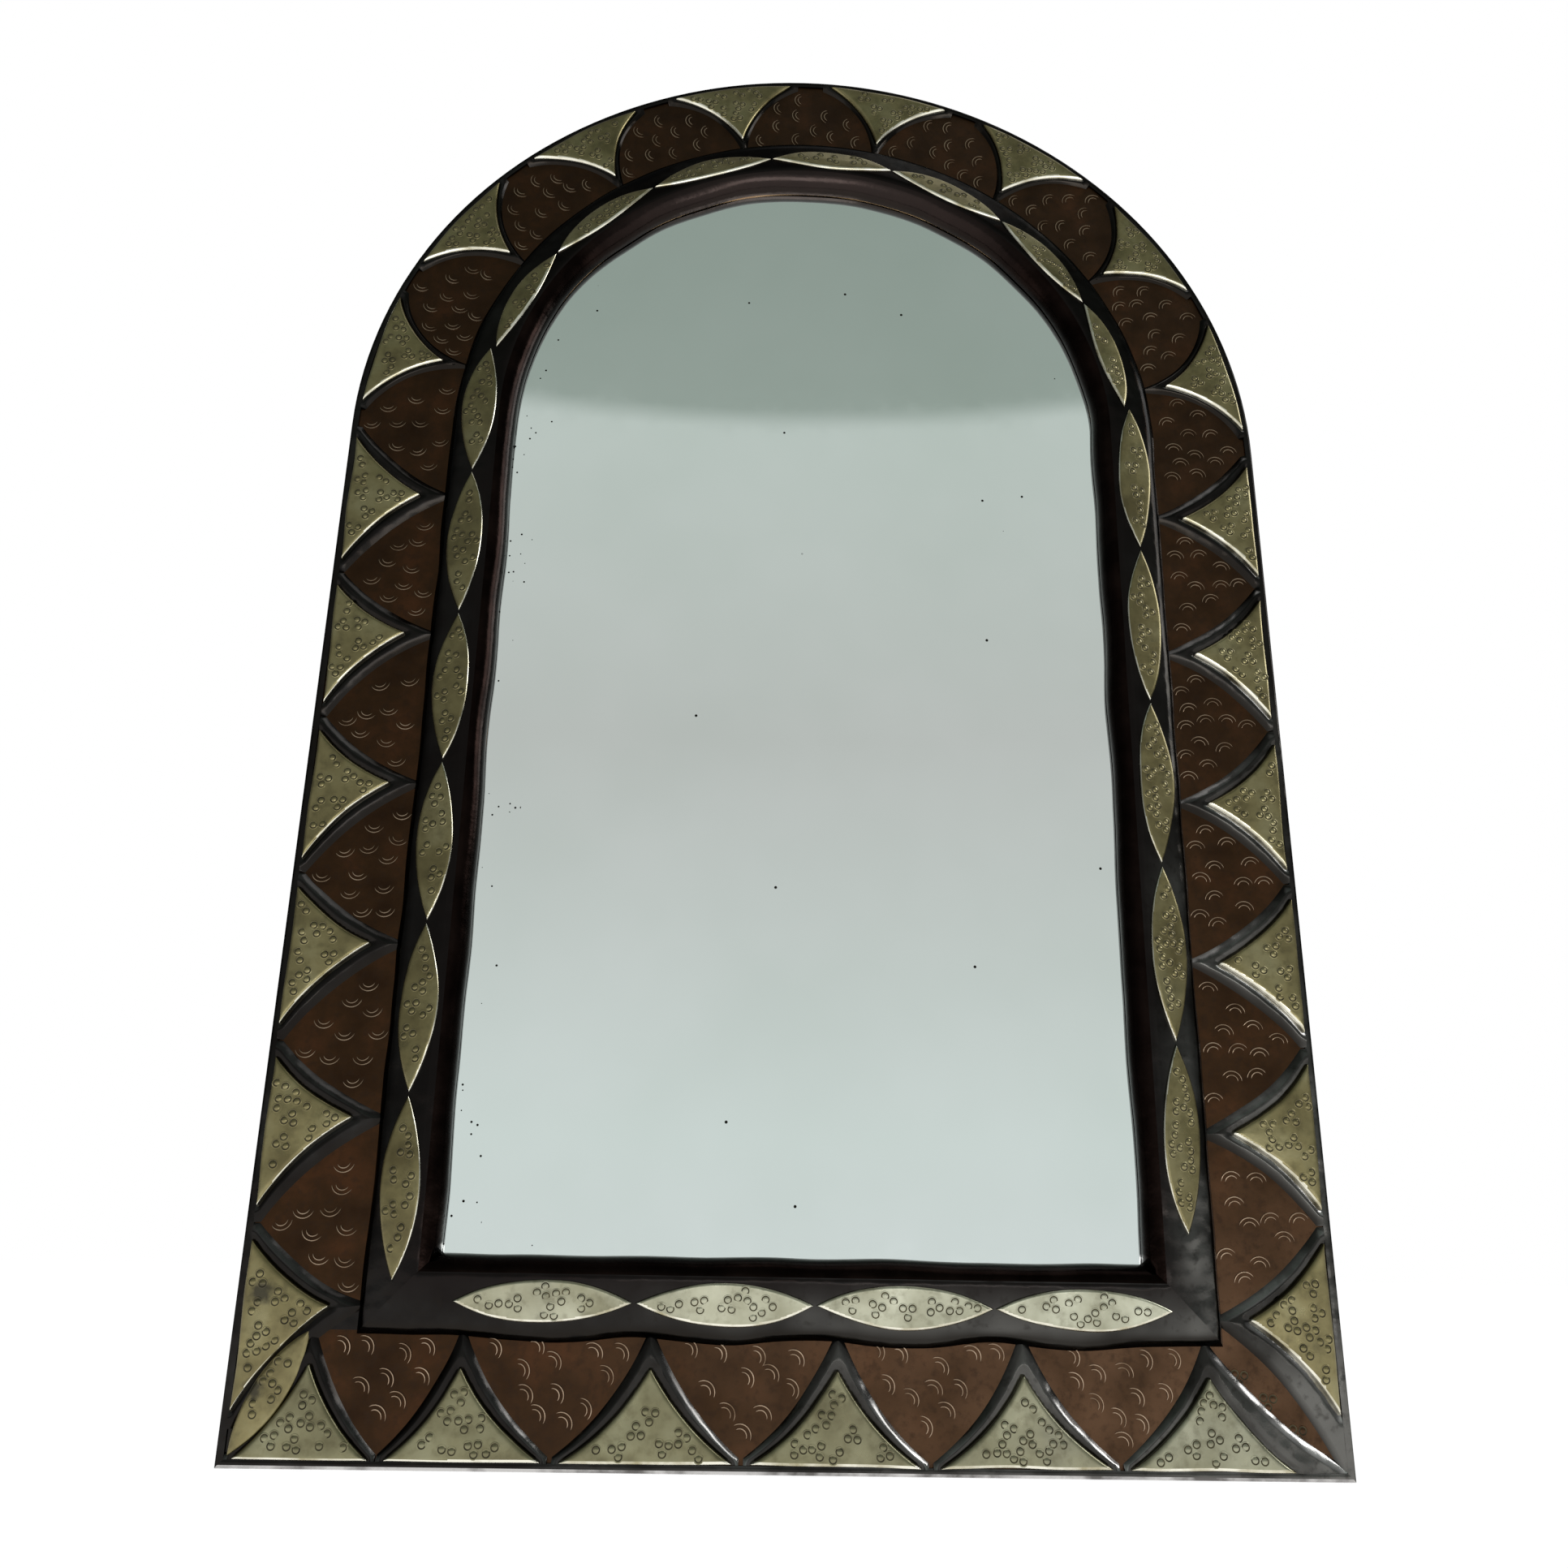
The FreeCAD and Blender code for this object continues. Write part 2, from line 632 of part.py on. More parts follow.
def hanger_screws():
    screws = []
    for place in screw_places():
        head = Part.makeCylinder(SCREW_HEAD_RADIUS, SCREW_HEAD, place, BACKWARD)
        shank = Part.makeCylinder(SCREW_RADIUS, SCREW_LENGTH, place, -BACKWARD)
        screws.append(head.fuse(shank).removeSplitter())
    return screws


def hanger_strap():
    """Steel strap screwed into the pocket, rolled into a loop round the ring's bar."""
    foot = Vector(-STRAP_WIDTH / 2, -POCKET_DEPTH, PIVOT_HEIGHT - STRAP_DROP)
    plate = Part.makeBox(STRAP_WIDTH, STRAP, STRAP_DROP, foot)
    loop_start = pivot() - ACROSS * (LOOP_LENGTH / 2)
    roll = Part.makeCylinder(LOOP_BORE + LOOP_WALL, LOOP_LENGTH, loop_start, ACROSS)
    bore = Part.makeCylinder(LOOP_BORE, LOOP_LENGTH, loop_start, ACROSS)
    return plate.fuse(roll).cut([bore] + hanger_screws()).removeSplitter()


def hanger_pocket():
    """Room for the hanger, with the ring hanging down or swung up."""
    width = RING_WIDTH + 2 * (RING_WIRE + POCKET_MARGIN)
    low = PIVOT_HEIGHT - STRAP_DROP - POCKET_MARGIN
    return Part.makeBox(
        width, POCKET_DEPTH, HEIGHT - POCKET_TOP - low, Vector(-width / 2, -POCKET_DEPTH, low))


# Wood, beads and glazing

def wooden_frame():
    opening = HALF - FRAME_BORDER
    stile = FRAME_BORDER - SHEET
    spread = (180.0 - CROWN_ANGLE) / 2
    rise = SPRING - SHEET
    wood = {
        "left_stile": Part.makeBox(stile, WOOD_DEPTH, rise, Vector(-HALF + SHEET, -WOOD_DEPTH, SHEET)),
        "right_stile": Part.makeBox(stile, WOOD_DEPTH, rise, Vector(opening, -WOOD_DEPTH, SHEET)),
        "bottom_rail": Part.makeBox(2 * opening, WOOD_DEPTH, stile, Vector(-opening, -WOOD_DEPTH, SHEET)),
        "arch_left_segment": arch_run(wood_section, SPRING, 0.0, spread),
        "arch_crown_segment": arch_run(wood_section, SPRING, spread, CROWN_ANGLE).cut(hanger_pocket()),
        "arch_right_segment": arch_run(wood_section, SPRING, spread + CROWN_ANGLE, spread)}
    holes = dowels() + board_pins() + hanger_screws() + brads()
    return {name: piece.cut(holes) for name, piece in wood.items()}


def bead_runs(section, name):
    return {
        f"left_{name}": left_run(section, BEAD_SPRING), f"right_{name}": right_run(section, BEAD_SPRING),
        f"bottom_{name}": bottom_run(section), f"arch_{name}": arch_run(section, BEAD_SPRING)}


def edge_strips():
    """One strip round the sides and the arch, and one along the foot."""
    sides = [left_run(edge_section, SPRING), right_run(edge_section, SPRING)]
    bent = arch_run(edge_section, SPRING).fuse(sides)
    return {"edge_strip": bent.removeSplitter(), "foot_strip": bottom_run(edge_section)}


def glazing():
    inset = FRAME_BORDER + GLASS_CLEARANCE
    back = WOOD_DEPTH - GLASS - BOARD
    return {
        "mirror_glass": arch_slab(inset, back + BOARD, GLASS, SPRING),
        "back_board": arch_slab(inset, back, BOARD, SPRING)}


def build():
    nails = brads()
    parts = {**wooden_frame(), **edge_strips(), **glazing()}
    parts.update(bead_runs(bead_section, "bead"))
    parts.update(bead_runs(cover_section, "bead_cover"))
    lowest = copper_scales()
    lowest.update({"left_corner_plate": corner_plate(-1), "right_corner_plate": corner_plate(1)})
    parts.update({name: plate.cut(nails) for name, plate in lowest.items()})
    for group, plates in tin_plates().items():
        parts[f"{group}_tin_plates"] = Part.makeCompound([plate.cut(nails) for plate in plates])
        parts[f"{group}_brass_plates"] = Part.makeCompound(brass_plates(group))
    parts.update({name: Part.makeCompound(row) for name, row in lens_groups().items()})
    parts["corner_leaf"] = corner_leaf(LEAF_HALF)
    parts["brads"] = Part.makeCompound(nails)
    parts["frame_dowels"] = Part.makeCompound(dowels())
    parts["board_pins"] = Part.makeCompound(board_pins())
    parts["hanger_strap"] = hanger_strap()
    parts["hanger_ring"] = hanger_ring()
    parts["hanger_screws"] = Part.makeCompound(hanger_screws())
    return parts


os.makedirs("parts", exist_ok=True)
for node, shape in build().items():
    shape.translate(Vector(0, 0, -ORIGIN_RISE))
    shape.exportStep(f"parts/{node}.step")
    print(node, len(shape.Solids), "valid" if shape.isValid() else "NOT VALID", round(shape.Volume, 1))
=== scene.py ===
import cmath
import math
import random

import bmesh
import bpy
import numpy as np
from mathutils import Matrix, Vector, noise


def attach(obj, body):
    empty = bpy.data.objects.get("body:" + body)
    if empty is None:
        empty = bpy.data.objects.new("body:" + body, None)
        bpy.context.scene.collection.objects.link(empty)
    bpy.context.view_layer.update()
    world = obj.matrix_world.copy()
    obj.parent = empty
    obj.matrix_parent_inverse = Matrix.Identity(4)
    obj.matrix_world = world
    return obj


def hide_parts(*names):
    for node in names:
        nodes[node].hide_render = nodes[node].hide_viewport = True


# Sizes in millimetres, as in the part's source: heights count from the foot, depths from the wall
MM = 0.001
ORIGIN_RISE = 30
HALF = 195
SPRING = 405
WOOD_DEPTH = 18
SHEET = 0.8
EDGE_LAP = 3
EDGE_BACK = 1
BAND = 43
SIDE_SCALE_COUNT = 6
ARCH_SCALE_COUNT = 7
BOTTOM_SCALE_COUNT = 5
SIDE_FOOT = 52
ARCH_START = 31
BOTTOM_LEFT = 28
BOTTOM_RIGHT = 49
FIRST_BOTTOM_WIDTH = 52
PLATE_HALF = 32
PLATE_GAP = 0.4
LEAF_REACH = 40
LEFT_TIP_DROP = 5
TIN_WAIST_RATIO = 0.42
ARCH_TIN_WAIST_RATIO = 0.33
BRASS_WAIST_RATIO = 0.39
STEM_HALF = 1.5
TIN_END = 2
BRASS_POINT_HALF = 0.4
BRASS_END = 0.5
STRIP_SIDE = 5.6
ARCH_STRIP_SIDE = 4
BOTTOM_STRIP_SIDE = 2.5
STRIP_CORNER = 18
BRASS_POINT = 33
LEAF_CORNER = 4
LEAF_LENGTH = 47
LEAF_LEAN_ANGLE = 30
LEAF_HALF = 6.2
BEAD_SHOULDER = 46.6
SHOULDER_RISE = 6
BEAD_CREST = 62.5
CREST_RISE = 9.4
BEAD_ROUND = 67.9
ROUND_RISE = 6.8
BEAD_EDGE = 70
EDGE_RISE = 0.6
ARCH_LIFT = 5
LENS_INSETS = {"side": (47.2, 62), "arch": (51.2, 62.3), "bottom": (47.2, 62)}
LENS_GAP = 0.6
LEFT_LENS_COUNT = 6
ARCH_LENS_COUNT = 7
RIGHT_LENS_COUNT = 5
BOTTOM_LENS_COUNT = 4
LENS_FOOT_LEFT = 60
LENS_FOOT_RIGHT = 80
LENS_ARCH_LEFT = 34
LENS_ARCH_RIGHT = 12
LENS_BOTTOM_LEFT = 76
LENS_BOTTOM_RIGHT = 61.5

# Relief of the sheet metal in millimetres, finer than the part's source has it
STRIP_CROWN = 1.5
STRIP_FULL = 4.5
STRIP_FULLNESS = 1.6
STRIP_FLANK = 3
STRIP_SEAT = 0.75
STEM_RUN = 0.8
BRASS_RISE = 1.45
BRASS_ROUND = 1.5
BRASS_PILLOW = 0.35
PILLOW_REACH = 6
# Widths in millimetres of the painted highlight on the brass's lower edges and on the lenses' edges
BRASS_HIGHLIGHT_REACH = 1.1
LEFT_BRASS_HIGHLIGHT_REACH = 0.6
LENS_HIGHLIGHT_REACH = {"side": 0.5, "arch": 1.1, "bottom": 1.1}
# More relief of the sheet metal in millimetres
LENS_RISE = 1.1
LENS_ROUND = 1.2
WAVE_HEIGHT = 0.12
WAVE_LENGTH = 14
WOBBLE = 0.9
WOBBLE_LENGTH = 30
WOBBLE_SHIFT = 90
LIP_WAVE = 1
LIP_WAVE_LENGTH = 34
FOOT_WAVE = 0.7
FOOT_WAVE_LENGTH = 20.4
FOOT_SCALLOP = 2.2
MITRE_CALM = 26
LIP_START = 1.5
NOSE_INSET = 1.5

# Bent sheet in millimetres: steps of inset and of rise from the band over the bead's foot and shoulder,
# and from the outer edge over its nose, and the number of stations along each run
COVER_FOOT = ((0, 0), (0.5, 1.3))
COVER_SHOULDER = ((1.5, -2.2), (2.8, -0.7), (4.5, 0.15))
COVER_SLOPE_MARGINS = (2.5, 1.5)
COVER_SLOPE_COUNT = 6
COVER_ROLL_COUNT = 10
CREST_SINK = 0.1
EDGE_WALL_DEPTHS = (EDGE_BACK, 7, 13)
EDGE_NOSE = ((0, -1.3), (0.2, -0.6), (0.6, -0.15), (1.3, 0.1), (2.2, 0.05), (EDGE_LAP, -0.1))
COVER_STATIONS = {"left": 90, "right": 90, "bottom": 110, "arch": 120}
EDGE_STATIONS = {"left": 40, "arch": 90, "right": 40, "bottom": 40}

# Material of the two lowest stretches of the bead's cover where it carries a painted highlight: 0 is plain
# and 2 is the painted highlight
HIGHLIGHT_FEET = {"arch": (2, 0), "right": (0, 2)}

# Meshes: points nearer than a gap in millimetres join, and edges past an angle in degrees stay sharp
MERGE_GAP = 0.002
CREASE_ANGLE = 50
COVER_CREASE_ANGLE = 60

# Punched marks in millimetres: radius and rise of the ring mark, radii and section of the crescent mark
RING_PROFILE = (
    (0, 0.34), (0.4, 0.3), (0.75, 0.2), (1, 0.04), (1.1, 0.02),
    (1.45, 0.02), (1.55, 0.08), (1.75, 0.03), (1.95, -0.2), (0, -0.35))
RING_GROOVE = (3, 4)
RING_SIDES = 14
CLUSTER_COUNT = 3
CLUSTER_RADIUS = 1.95
CLUSTER_SPACING = 6.3
RING_MARGIN = 2.7
LEAST_RING_MARGIN = 0.8 * RING_MARGIN
CORNER_CLUSTERS = ((157, 33), (166.5, 25.5), (176, 15.5))
CORNER_CLUSTER_TURN = 0.4
CRESCENT_RADII = (3.9, 2.4)
CRESCENT_HALF_ANGLE = 72
CRESCENT_STEPS = 12
CRESCENT_HALF_WIDTH = 0.32
CRESCENT_SECTION = ((-1, -0.3), (-0.5, 0.42), (0.5, 0.42), (1, -0.3))
CRESCENT_TURN = 0.7
CRESCENT_LEAN = 0.3
CRESCENT_SPACING = 7.6
CRESCENT_MARGIN = 4.4
SCATTER_TRIES = 400
SCATTER_SEED = 5

# Colours of brass by the height of its noise, where the greyer stops are a lit copy and the deep stops a
# shaded copy, painted light and painted shade, and its stains as places in millimetres and sizes in metres
OLIVE_STOPS = (0.3, (0.11, 0.09, 0.036)), (0.52, (0.185, 0.158, 0.07)), (0.75, (0.245, 0.22, 0.115))
LIT_GREY_STOPS = (0.3, (0.098, 0.087, 0.042)), (0.52, (0.16, 0.15, 0.081)), (0.75, (0.218, 0.211, 0.126))
SHADED_STOPS = (0.3, (0.09, 0.073, 0.028)), (0.52, (0.152, 0.129, 0.055)), (0.75, (0.2, 0.179, 0.091))
STAINS = ((-185.5, 56, 0.0052), (-184.5, 25, 0.0042))
STAIN_FRAY = 0.003

# Direction of the light, whose painted highlight and painted shade the strips follow, and wooden pieces with
# the turn of their grain in degrees
LIGHT_FROM = (0.15, -0.62, 0.77)
WOODS = {
    "upright": (90, "left_stile", "right_stile", "left_bead", "right_bead"),
    "level": (0, "bottom_rail", "bottom_bead", "arch_crown_segment", "arch_bead", "frame_dowels"),
    "left_arch": (60, "arch_left_segment"),
    "right_arch": (-60, "arch_right_segment")}

# Room in metres: brightness of the floor, colours by height, lamps as place, target, size and power, camera
FLOOR_HALF = 2.2
FLOOR_GAP = 0.0004
FLOOR_GREY = (0.85, 0.85, 0.85, 1)
FLOOR_SEEN = 1.13
FLOOR_SHINE = 1.4
FLOOR_WHITE_SHARE = 0.86
WHITE = (1, 1, 1, 1)
ROOM_STOPS = (
    (0, (0.7, 0.74, 0.74)), (0.06, (0.68, 0.73, 0.72)), (0.34, (0.55, 0.56, 0.55)),
    (0.54, (0.56, 0.61, 0.585)), (0.55, (0.33, 0.38, 0.35)), (0.7, (0.29, 0.34, 0.31)),
    (0.88, (0.21, 0.22, 0.21)), (1, (0.24, 0.24, 0.23)))
ROOM_FADE = (0.45, 0.95, 1, 0.35)
MIDDLE = (0, 0, 0.25)
LAMPS = {
    "key": ((1.25, -0.2, 0.95), MIDDLE, 0.65, 8),
    "top": ((0.4, -0.3, 1.9), MIDDLE, 0.8, 1.6),
    "low": ((0.15, -0.75, -0.02), (0.15, -0.75, 1), 0.5, 3),
    "fill": ((-1.3, 1.2, 1.3), MIDDLE, 1.2, 14)}
CAMERA_PLACE = (-0.02135, -0.5333, 0.05013)
CAMERA_ANGLES = (108.065, -0.958, -1.936)
CAMERA_LENS = 31.3

# Values that follow from the sizes above
WIDTH = 2 * HALF
COPPER_FRONT = WOOD_DEPTH + SHEET
TIN_FRONT = COPPER_FRONT + SHEET
BASE_RADIUS = HALF - BAND
ARCH_RUN = math.pi * BASE_RADIUS
WHOLE_RUN = 2 * SPRING + ARCH_RUN
BEAD_SPRING = SPRING + ARCH_LIFT
BEAD_RUN = 2 * BEAD_SPRING + ARCH_RUN
SIDE_PITCH = (SPRING + ARCH_START - SIDE_FOOT) / SIDE_SCALE_COUNT
ARCH_PITCH = (ARCH_RUN - 2 * ARCH_START) / ARCH_SCALE_COUNT
EDGE_STRETCH = HALF / BASE_RADIUS
LENS_BOTTOM_END = WIDTH - LENS_BOTTOM_RIGHT
GRID_COUNTS = (35, 71)
GRID, TIN_GRID = [0.5 * (1 - np.cos(np.linspace(0, math.pi, count))) for count in GRID_COUNTS]
END_SHARES = (0, 0.33, 0.67)

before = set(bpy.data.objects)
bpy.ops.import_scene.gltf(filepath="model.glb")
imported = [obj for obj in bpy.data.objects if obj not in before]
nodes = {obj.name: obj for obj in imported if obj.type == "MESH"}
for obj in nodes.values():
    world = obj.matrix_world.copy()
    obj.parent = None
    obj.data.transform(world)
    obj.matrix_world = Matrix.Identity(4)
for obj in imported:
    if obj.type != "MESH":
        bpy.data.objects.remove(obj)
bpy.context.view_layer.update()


# Places on the frame

def walk(along, inset, depth, sideways=0, lift=0):
    """Point on the way up the left side, over the arch, which may be lifted, and down the right side."""
    spring = SPRING + lift
    if along <= spring:
        return (-HALF + inset, -depth, along + sideways)
    if along >= spring + ARCH_RUN:
        return (HALF - inset, -depth, 2 * spring + ARCH_RUN - along - sideways)
    turn = (along - spring) / BASE_RADIUS + sideways / HALF
    radius = HALF - inset
    return (-radius * math.cos(turn), -depth, spring + radius * math.sin(turn))


def bead_walk(along, inset, depth):
    """Point on the same way along the bead, whose arch springs higher than the outline."""
    return walk(along, inset, depth, lift=ARCH_LIFT)


def rail(along, inset, depth, sideways=0):
    """Point on the bottom of the frame, with along as the distance from the left edge."""
    return (-HALF + along + sideways, -depth, inset)


def leaf_place(along, aside, rise):
    """Point on the brass leaf, which lies on the tin and leans from the lower left corner."""
    lean = math.radians(LEAF_LEAN_ANGLE)
    x = -HALF + LEAF_CORNER + along * math.sin(lean) - aside * math.cos(lean)
    z = LEAF_CORNER + along * math.cos(lean) + aside * math.sin(lean)
    return (x, -(TIN_FRONT + rise), z)


def on_arch(place, along):
    return place is walk and SPRING < along < SPRING + ARCH_RUN


def foot_inset(place, along):
    """Inset of the bead's outer foot, which comes nearer to the outer edge over the arch."""
    if not on_arch(place, along):
        return BAND
    turn = (along - SPRING) / BASE_RADIUS
    aside = ARCH_LIFT * math.cos(turn)
    return HALF - ARCH_LIFT * math.sin(turn) - math.sqrt(BASE_RADIUS ** 2 - aside ** 2)


def bead_slope(inset):
    """Depth of the bead's sloping face."""
    share = (inset - BEAD_SHOULDER) / (BEAD_CREST - BEAD_SHOULDER)
    return WOOD_DEPTH + SHOULDER_RISE + share * (CREST_RISE - SHOULDER_RISE)


def wave(point, length):
    """Smooth unevenness between -1 and 1 that depends on the place alone."""
    return noise.noise(Vector(point) / length)


# Where the scales meet

def side_valleys():
    left = [SIDE_FOOT + k * SIDE_PITCH for k in range(SIDE_SCALE_COUNT)]
    arch = [SPRING + ARCH_START + k * ARCH_PITCH for k in range(ARCH_SCALE_COUNT + 1)]
    right = [WHOLE_RUN - along for along in reversed(left)]
    return left, arch, right


def bottom_valleys():
    second = BOTTOM_LEFT + FIRST_BOTTOM_WIDTH
    pitch = (WIDTH - BOTTOM_RIGHT - second) / (BOTTOM_SCALE_COUNT - 1)
    return [BOTTOM_LEFT] + [second + k * pitch for k in range(BOTTOM_SCALE_COUNT)]


def plate_reach(valleys, ends, strips, stretch=1, tip_drop=0):
    """How far the tin and the brass of each spandrel spread along the outer edge from its valley.

    ends are the spreads at the ends of the row, and strips the widths of tin beside the brass, the second
    at the last end. tip_drop moves the tips of the scales back from the middle.
    """
    halves = [min(PLATE_HALF, (b - a) * stretch / 2) for a, b in zip(valleys, valleys[1:])]
    before = [ends[0]] + [half + tip_drop for half in halves]
    after = [half - tip_drop for half in halves] + [ends[1]]
    tin = [(a - PLATE_GAP / 2, b - PLATE_GAP / 2) for a, b in zip(before, after)]
    after_strips = [strips[0]] * len(halves) + [strips[1]]
    brass = [(a - strips[0], b - strip) for (a, b), strip in zip(tin, after_strips)]
    return list(zip(valleys, tin, brass))


def spandrels():
    """Placing rule, valley and spread of the tin and of the brass of every spandrel, by group."""
    left, arch, right = side_valleys()
    side = plate_reach(left, (LEAF_REACH, PLATE_HALF), (STRIP_SIDE, STRIP_SIDE), tip_drop=LEFT_TIP_DROP)
    side += plate_reach(right, (PLATE_HALF, SIDE_FOOT - EDGE_LAP), (STRIP_SIDE, STRIP_CORNER))
    over = plate_reach(arch, (PLATE_HALF, PLATE_HALF), (ARCH_STRIP_SIDE, ARCH_STRIP_SIDE), EDGE_STRETCH)
    bottom_ends = BOTTOM_LEFT - EDGE_LAP, BOTTOM_RIGHT - EDGE_LAP
    bottom = plate_reach(bottom_valleys(), bottom_ends, (BOTTOM_STRIP_SIDE, STRIP_CORNER))
    return {
        "side": [(walk, *spread) for spread in side],
        "arch": [(walk, *spread) for spread in over],
        "bottom": [(rail, *spread) for spread in bottom]}


def lens_rows():
    """Every lens as its placing rule and its two ends, by group."""
    arch_start, arch_end = BEAD_SPRING + LENS_ARCH_LEFT, BEAD_SPRING + ARCH_RUN - LENS_ARCH_RIGHT

    def row(place, start, end, count):
        ends = np.linspace(start, end, count + 1)
        return [(place, a + LENS_GAP / 2, b - LENS_GAP / 2) for a, b in zip(ends, ends[1:])]

    left = row(bead_walk, LENS_FOOT_LEFT, arch_start, LEFT_LENS_COUNT)
    right = row(bead_walk, arch_end, BEAD_RUN - LENS_FOOT_RIGHT, RIGHT_LENS_COUNT)
    arch = row(bead_walk, arch_start, arch_end, ARCH_LENS_COUNT)
    return {
        "side": left + right, "arch": arch,
        "bottom": row(rail, LENS_BOTTOM_LEFT, LENS_BOTTOM_END, BOTTOM_LENS_COUNT)}


# Outlines in the plan: the first number runs along the frame, the second across it

def arc(start, middle, end, shares):
    """Points of the circle through three places, at the given shares of the way."""
    a, b, c = (complex(*place) for place in (start, middle, end))
    ratio = (c - a) / (b - a)
    centre = a + (b - a) * (ratio - abs(ratio) ** 2) / (2j * ratio.imag)
    first = cmath.phase(a - centre)
    swing = math.remainder(cmath.phase(c - centre) - first, 2 * math.pi)
    spots = centre + abs(a - centre) * np.exp(1j * (first + swing * np.asarray(shares)))
    return np.stack([spots.real, spots.imag], -1)


def spandrel_sides(spread, end, point, point_half, waist):
    """Sides of a spandrel up to its blunt point: a short straight end, then a hollow arc."""
    middle = (EDGE_LAP + point) / 2
    sides = []
    for reach, half in ((-spread[0], -point_half), (spread[1], point_half)):
        straight = [(reach, EDGE_LAP + end * share) for share in END_SHARES]
        hollow = arc((reach, EDGE_LAP + end), (reach * waist, middle), (half, point), GRID)
        sides.append(np.concatenate([straight, hollow]))
    return sides


def tin_sides(place, valley, spread):
    waist = ARCH_TIN_WAIST_RATIO if on_arch(place, valley) else TIN_WAIST_RATIO
    return spandrel_sides(spread, TIN_END, foot_inset(place, valley) + STEM_RUN, STEM_HALF, waist)


def brass_sides(spread):
    return spandrel_sides(spread, BRASS_END, BRASS_POINT, BRASS_POINT_HALF, BRASS_WAIST_RATIO)


def lens_sides(start, end, outer, inner):
    """Bowed sides of a lens, each from tip to tip."""
    centre, middle = (outer + inner) / 2, (start + end) / 2
    low = arc((start, centre), (middle, outer), (end, centre), GRID)
    high = arc((start, centre), (middle, inner), (end, centre), GRID)
    return low, high


def grid_between(first, last, shares=GRID):
    return first[:, None] + (last - first)[:, None] * shares[None, :, None]


def loop_of(first, last):
    """Closed outline of the area between two sides."""
    return np.concatenate([first, last[::-1], first[:1]])


def distance_to(points, line):
    """Distance of each point from the nearest stretch of a line."""
    start, run = line[:-1], np.diff(line, axis=0)
    offset = points[..., None, :] - start
    share = (offset * run).sum(-1) / np.maximum((run * run).sum(-1), 1e-9)
    gap = offset - np.clip(share, 0, 1)[..., None] * run
    return np.linalg.norm(gap, axis=-1).min(-1)


def is_inside(points, loop):
    """Whether each point lies inside a closed outline."""
    (x0, y0), (x1, y1) = loop[:-1].T, loop[1:].T
    x, y = points[..., 0, None], points[..., 1, None]
    crosses = (y0 > y) != (y1 > y)
    slope = (x1 - x0) / np.where(y1 == y0, 1, y1 - y0)
    return (crosses & (x < x0 + slope * (y - y0))).sum(-1) % 2 == 1


def rounded(distance, radius):
    """Share of the full height at a distance from a rounded edge."""
    inside = np.clip(distance / radius, 0, 1)
    return np.sqrt(1 - (1 - inside) ** 2)


def smooth(share):
    share = np.clip(share, 0, 1)
    return share * share * (3 - 2 * share)


# Meshes

class Shell:
    """Points in millimetres and faces of one piece, gathered from closed bodies."""

    def __init__(self):
        self.points, self.faces, self.kinds = [], [], []

    def add(self, points, faces, kinds):
        """Adds one closed body; its kinds pick the material of each face."""
        start = len(self.points)
        self.points += [tuple(point) for point in points]
        self.faces += [tuple(start + i for i in face) for face in faces]
        self.kinds += kinds

    def sheet(self, front, back, kinds=None):
        """Closed sheet between two grids of points; the cells of the front may each have a kind."""
        index = np.arange(len(front) * len(front[0])).reshape(len(front), -1)
        corners = index[:-1, :-1], index[:-1, 1:], index[1:, 1:], index[1:, :-1]
        quads = np.stack(corners, -1).reshape(-1, 4).tolist()
        cell_kinds = [0] * len(quads) if kinds is None else [int(kind) for kind in np.ravel(kinds)]
        faces, face_kinds = [], []
        for quad, kind in zip(quads, cell_kinds):
            faces += [quad, [index.size + i for i in reversed(quad)]]
            face_kinds += [kind, 0]
        rim = np.concatenate([index[0], index[1:, -1], index[-1, -2::-1], index[-2:0:-1, 0]]).tolist()
        for a, b in zip(rim, rim[1:] + rim[:1]):
            faces.append((a, index.size + a, index.size + b, b))
        points = [point for grid in (front, back) for row in grid for point in row]
        self.add(points, faces, face_kinds + [0] * len(rim))

    def tube(self, rings, kinds):
        """Closed body through rings of points; each stretch between two rings has a kind."""
        sides = len(rings[0])
        last = sides * len(kinds)
        faces, face_kinds = [], []
        for start, kind in zip(range(0, last, sides), kinds):
            for k in range(sides):
                a, b = start + k, start + (k + 1) % sides
                faces.append((a, b, b + sides, a + sides))
            face_kinds += [kind] * sides
        faces += [range(sides), range(last + sides - 1, last - 1, -1)]
        self.add([point for ring in rings for point in ring], faces, face_kinds + [0, 0])


def add_object(name, data):
    holder = bpy.data.objects.new(name, data)
    bpy.context.scene.collection.objects.link(holder)
    return holder


def make_piece(name, shell, materials, replaced=(), crease=CREASE_ANGLE):
    """Makes a shell an object that rides on the frame and stands for the named nodes."""
    mesh = bpy.data.meshes.new(name)
    mesh.from_pydata([(x * MM, y * MM, (z - ORIGIN_RISE) * MM) for x, y, z in shell.points], [], shell.faces)
    mesh.polygons.foreach_set("material_index", shell.kinds)
    build = bmesh.new()
    build.from_mesh(mesh)
    bmesh.ops.remove_doubles(build, verts=build.verts, dist=MERGE_GAP * MM)
    bmesh.ops.recalc_face_normals(build, faces=build.faces)
    build.to_mesh(mesh)
    build.free()
    mesh.shade_smooth()
    mesh.set_sharp_from_angle(angle=math.radians(crease))
    for material in materials:
        mesh.materials.append(material)
    piece = add_object(name, mesh)
    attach(piece, "frame")
    if replaced:
        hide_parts(*replaced)


# Spandrel plates

def tin_heights(edge_gap, brass_gap):
    """Rounded strip between the hollow sides and the brass, and a level seat under the brass."""
    width = np.maximum(edge_gap + brass_gap, 1e-6)
    share = edge_gap / width
    climb_share = np.minimum(edge_gap, brass_gap) / np.minimum(width / 2, STRIP_FLANK)
    crown = 1 - (1 - np.clip(climb_share, 0, 1)) ** STRIP_FULLNESS
    return STRIP_CROWN * crown * np.clip(width / STRIP_FULL, 0, 1) + STRIP_SEAT * smooth(share)


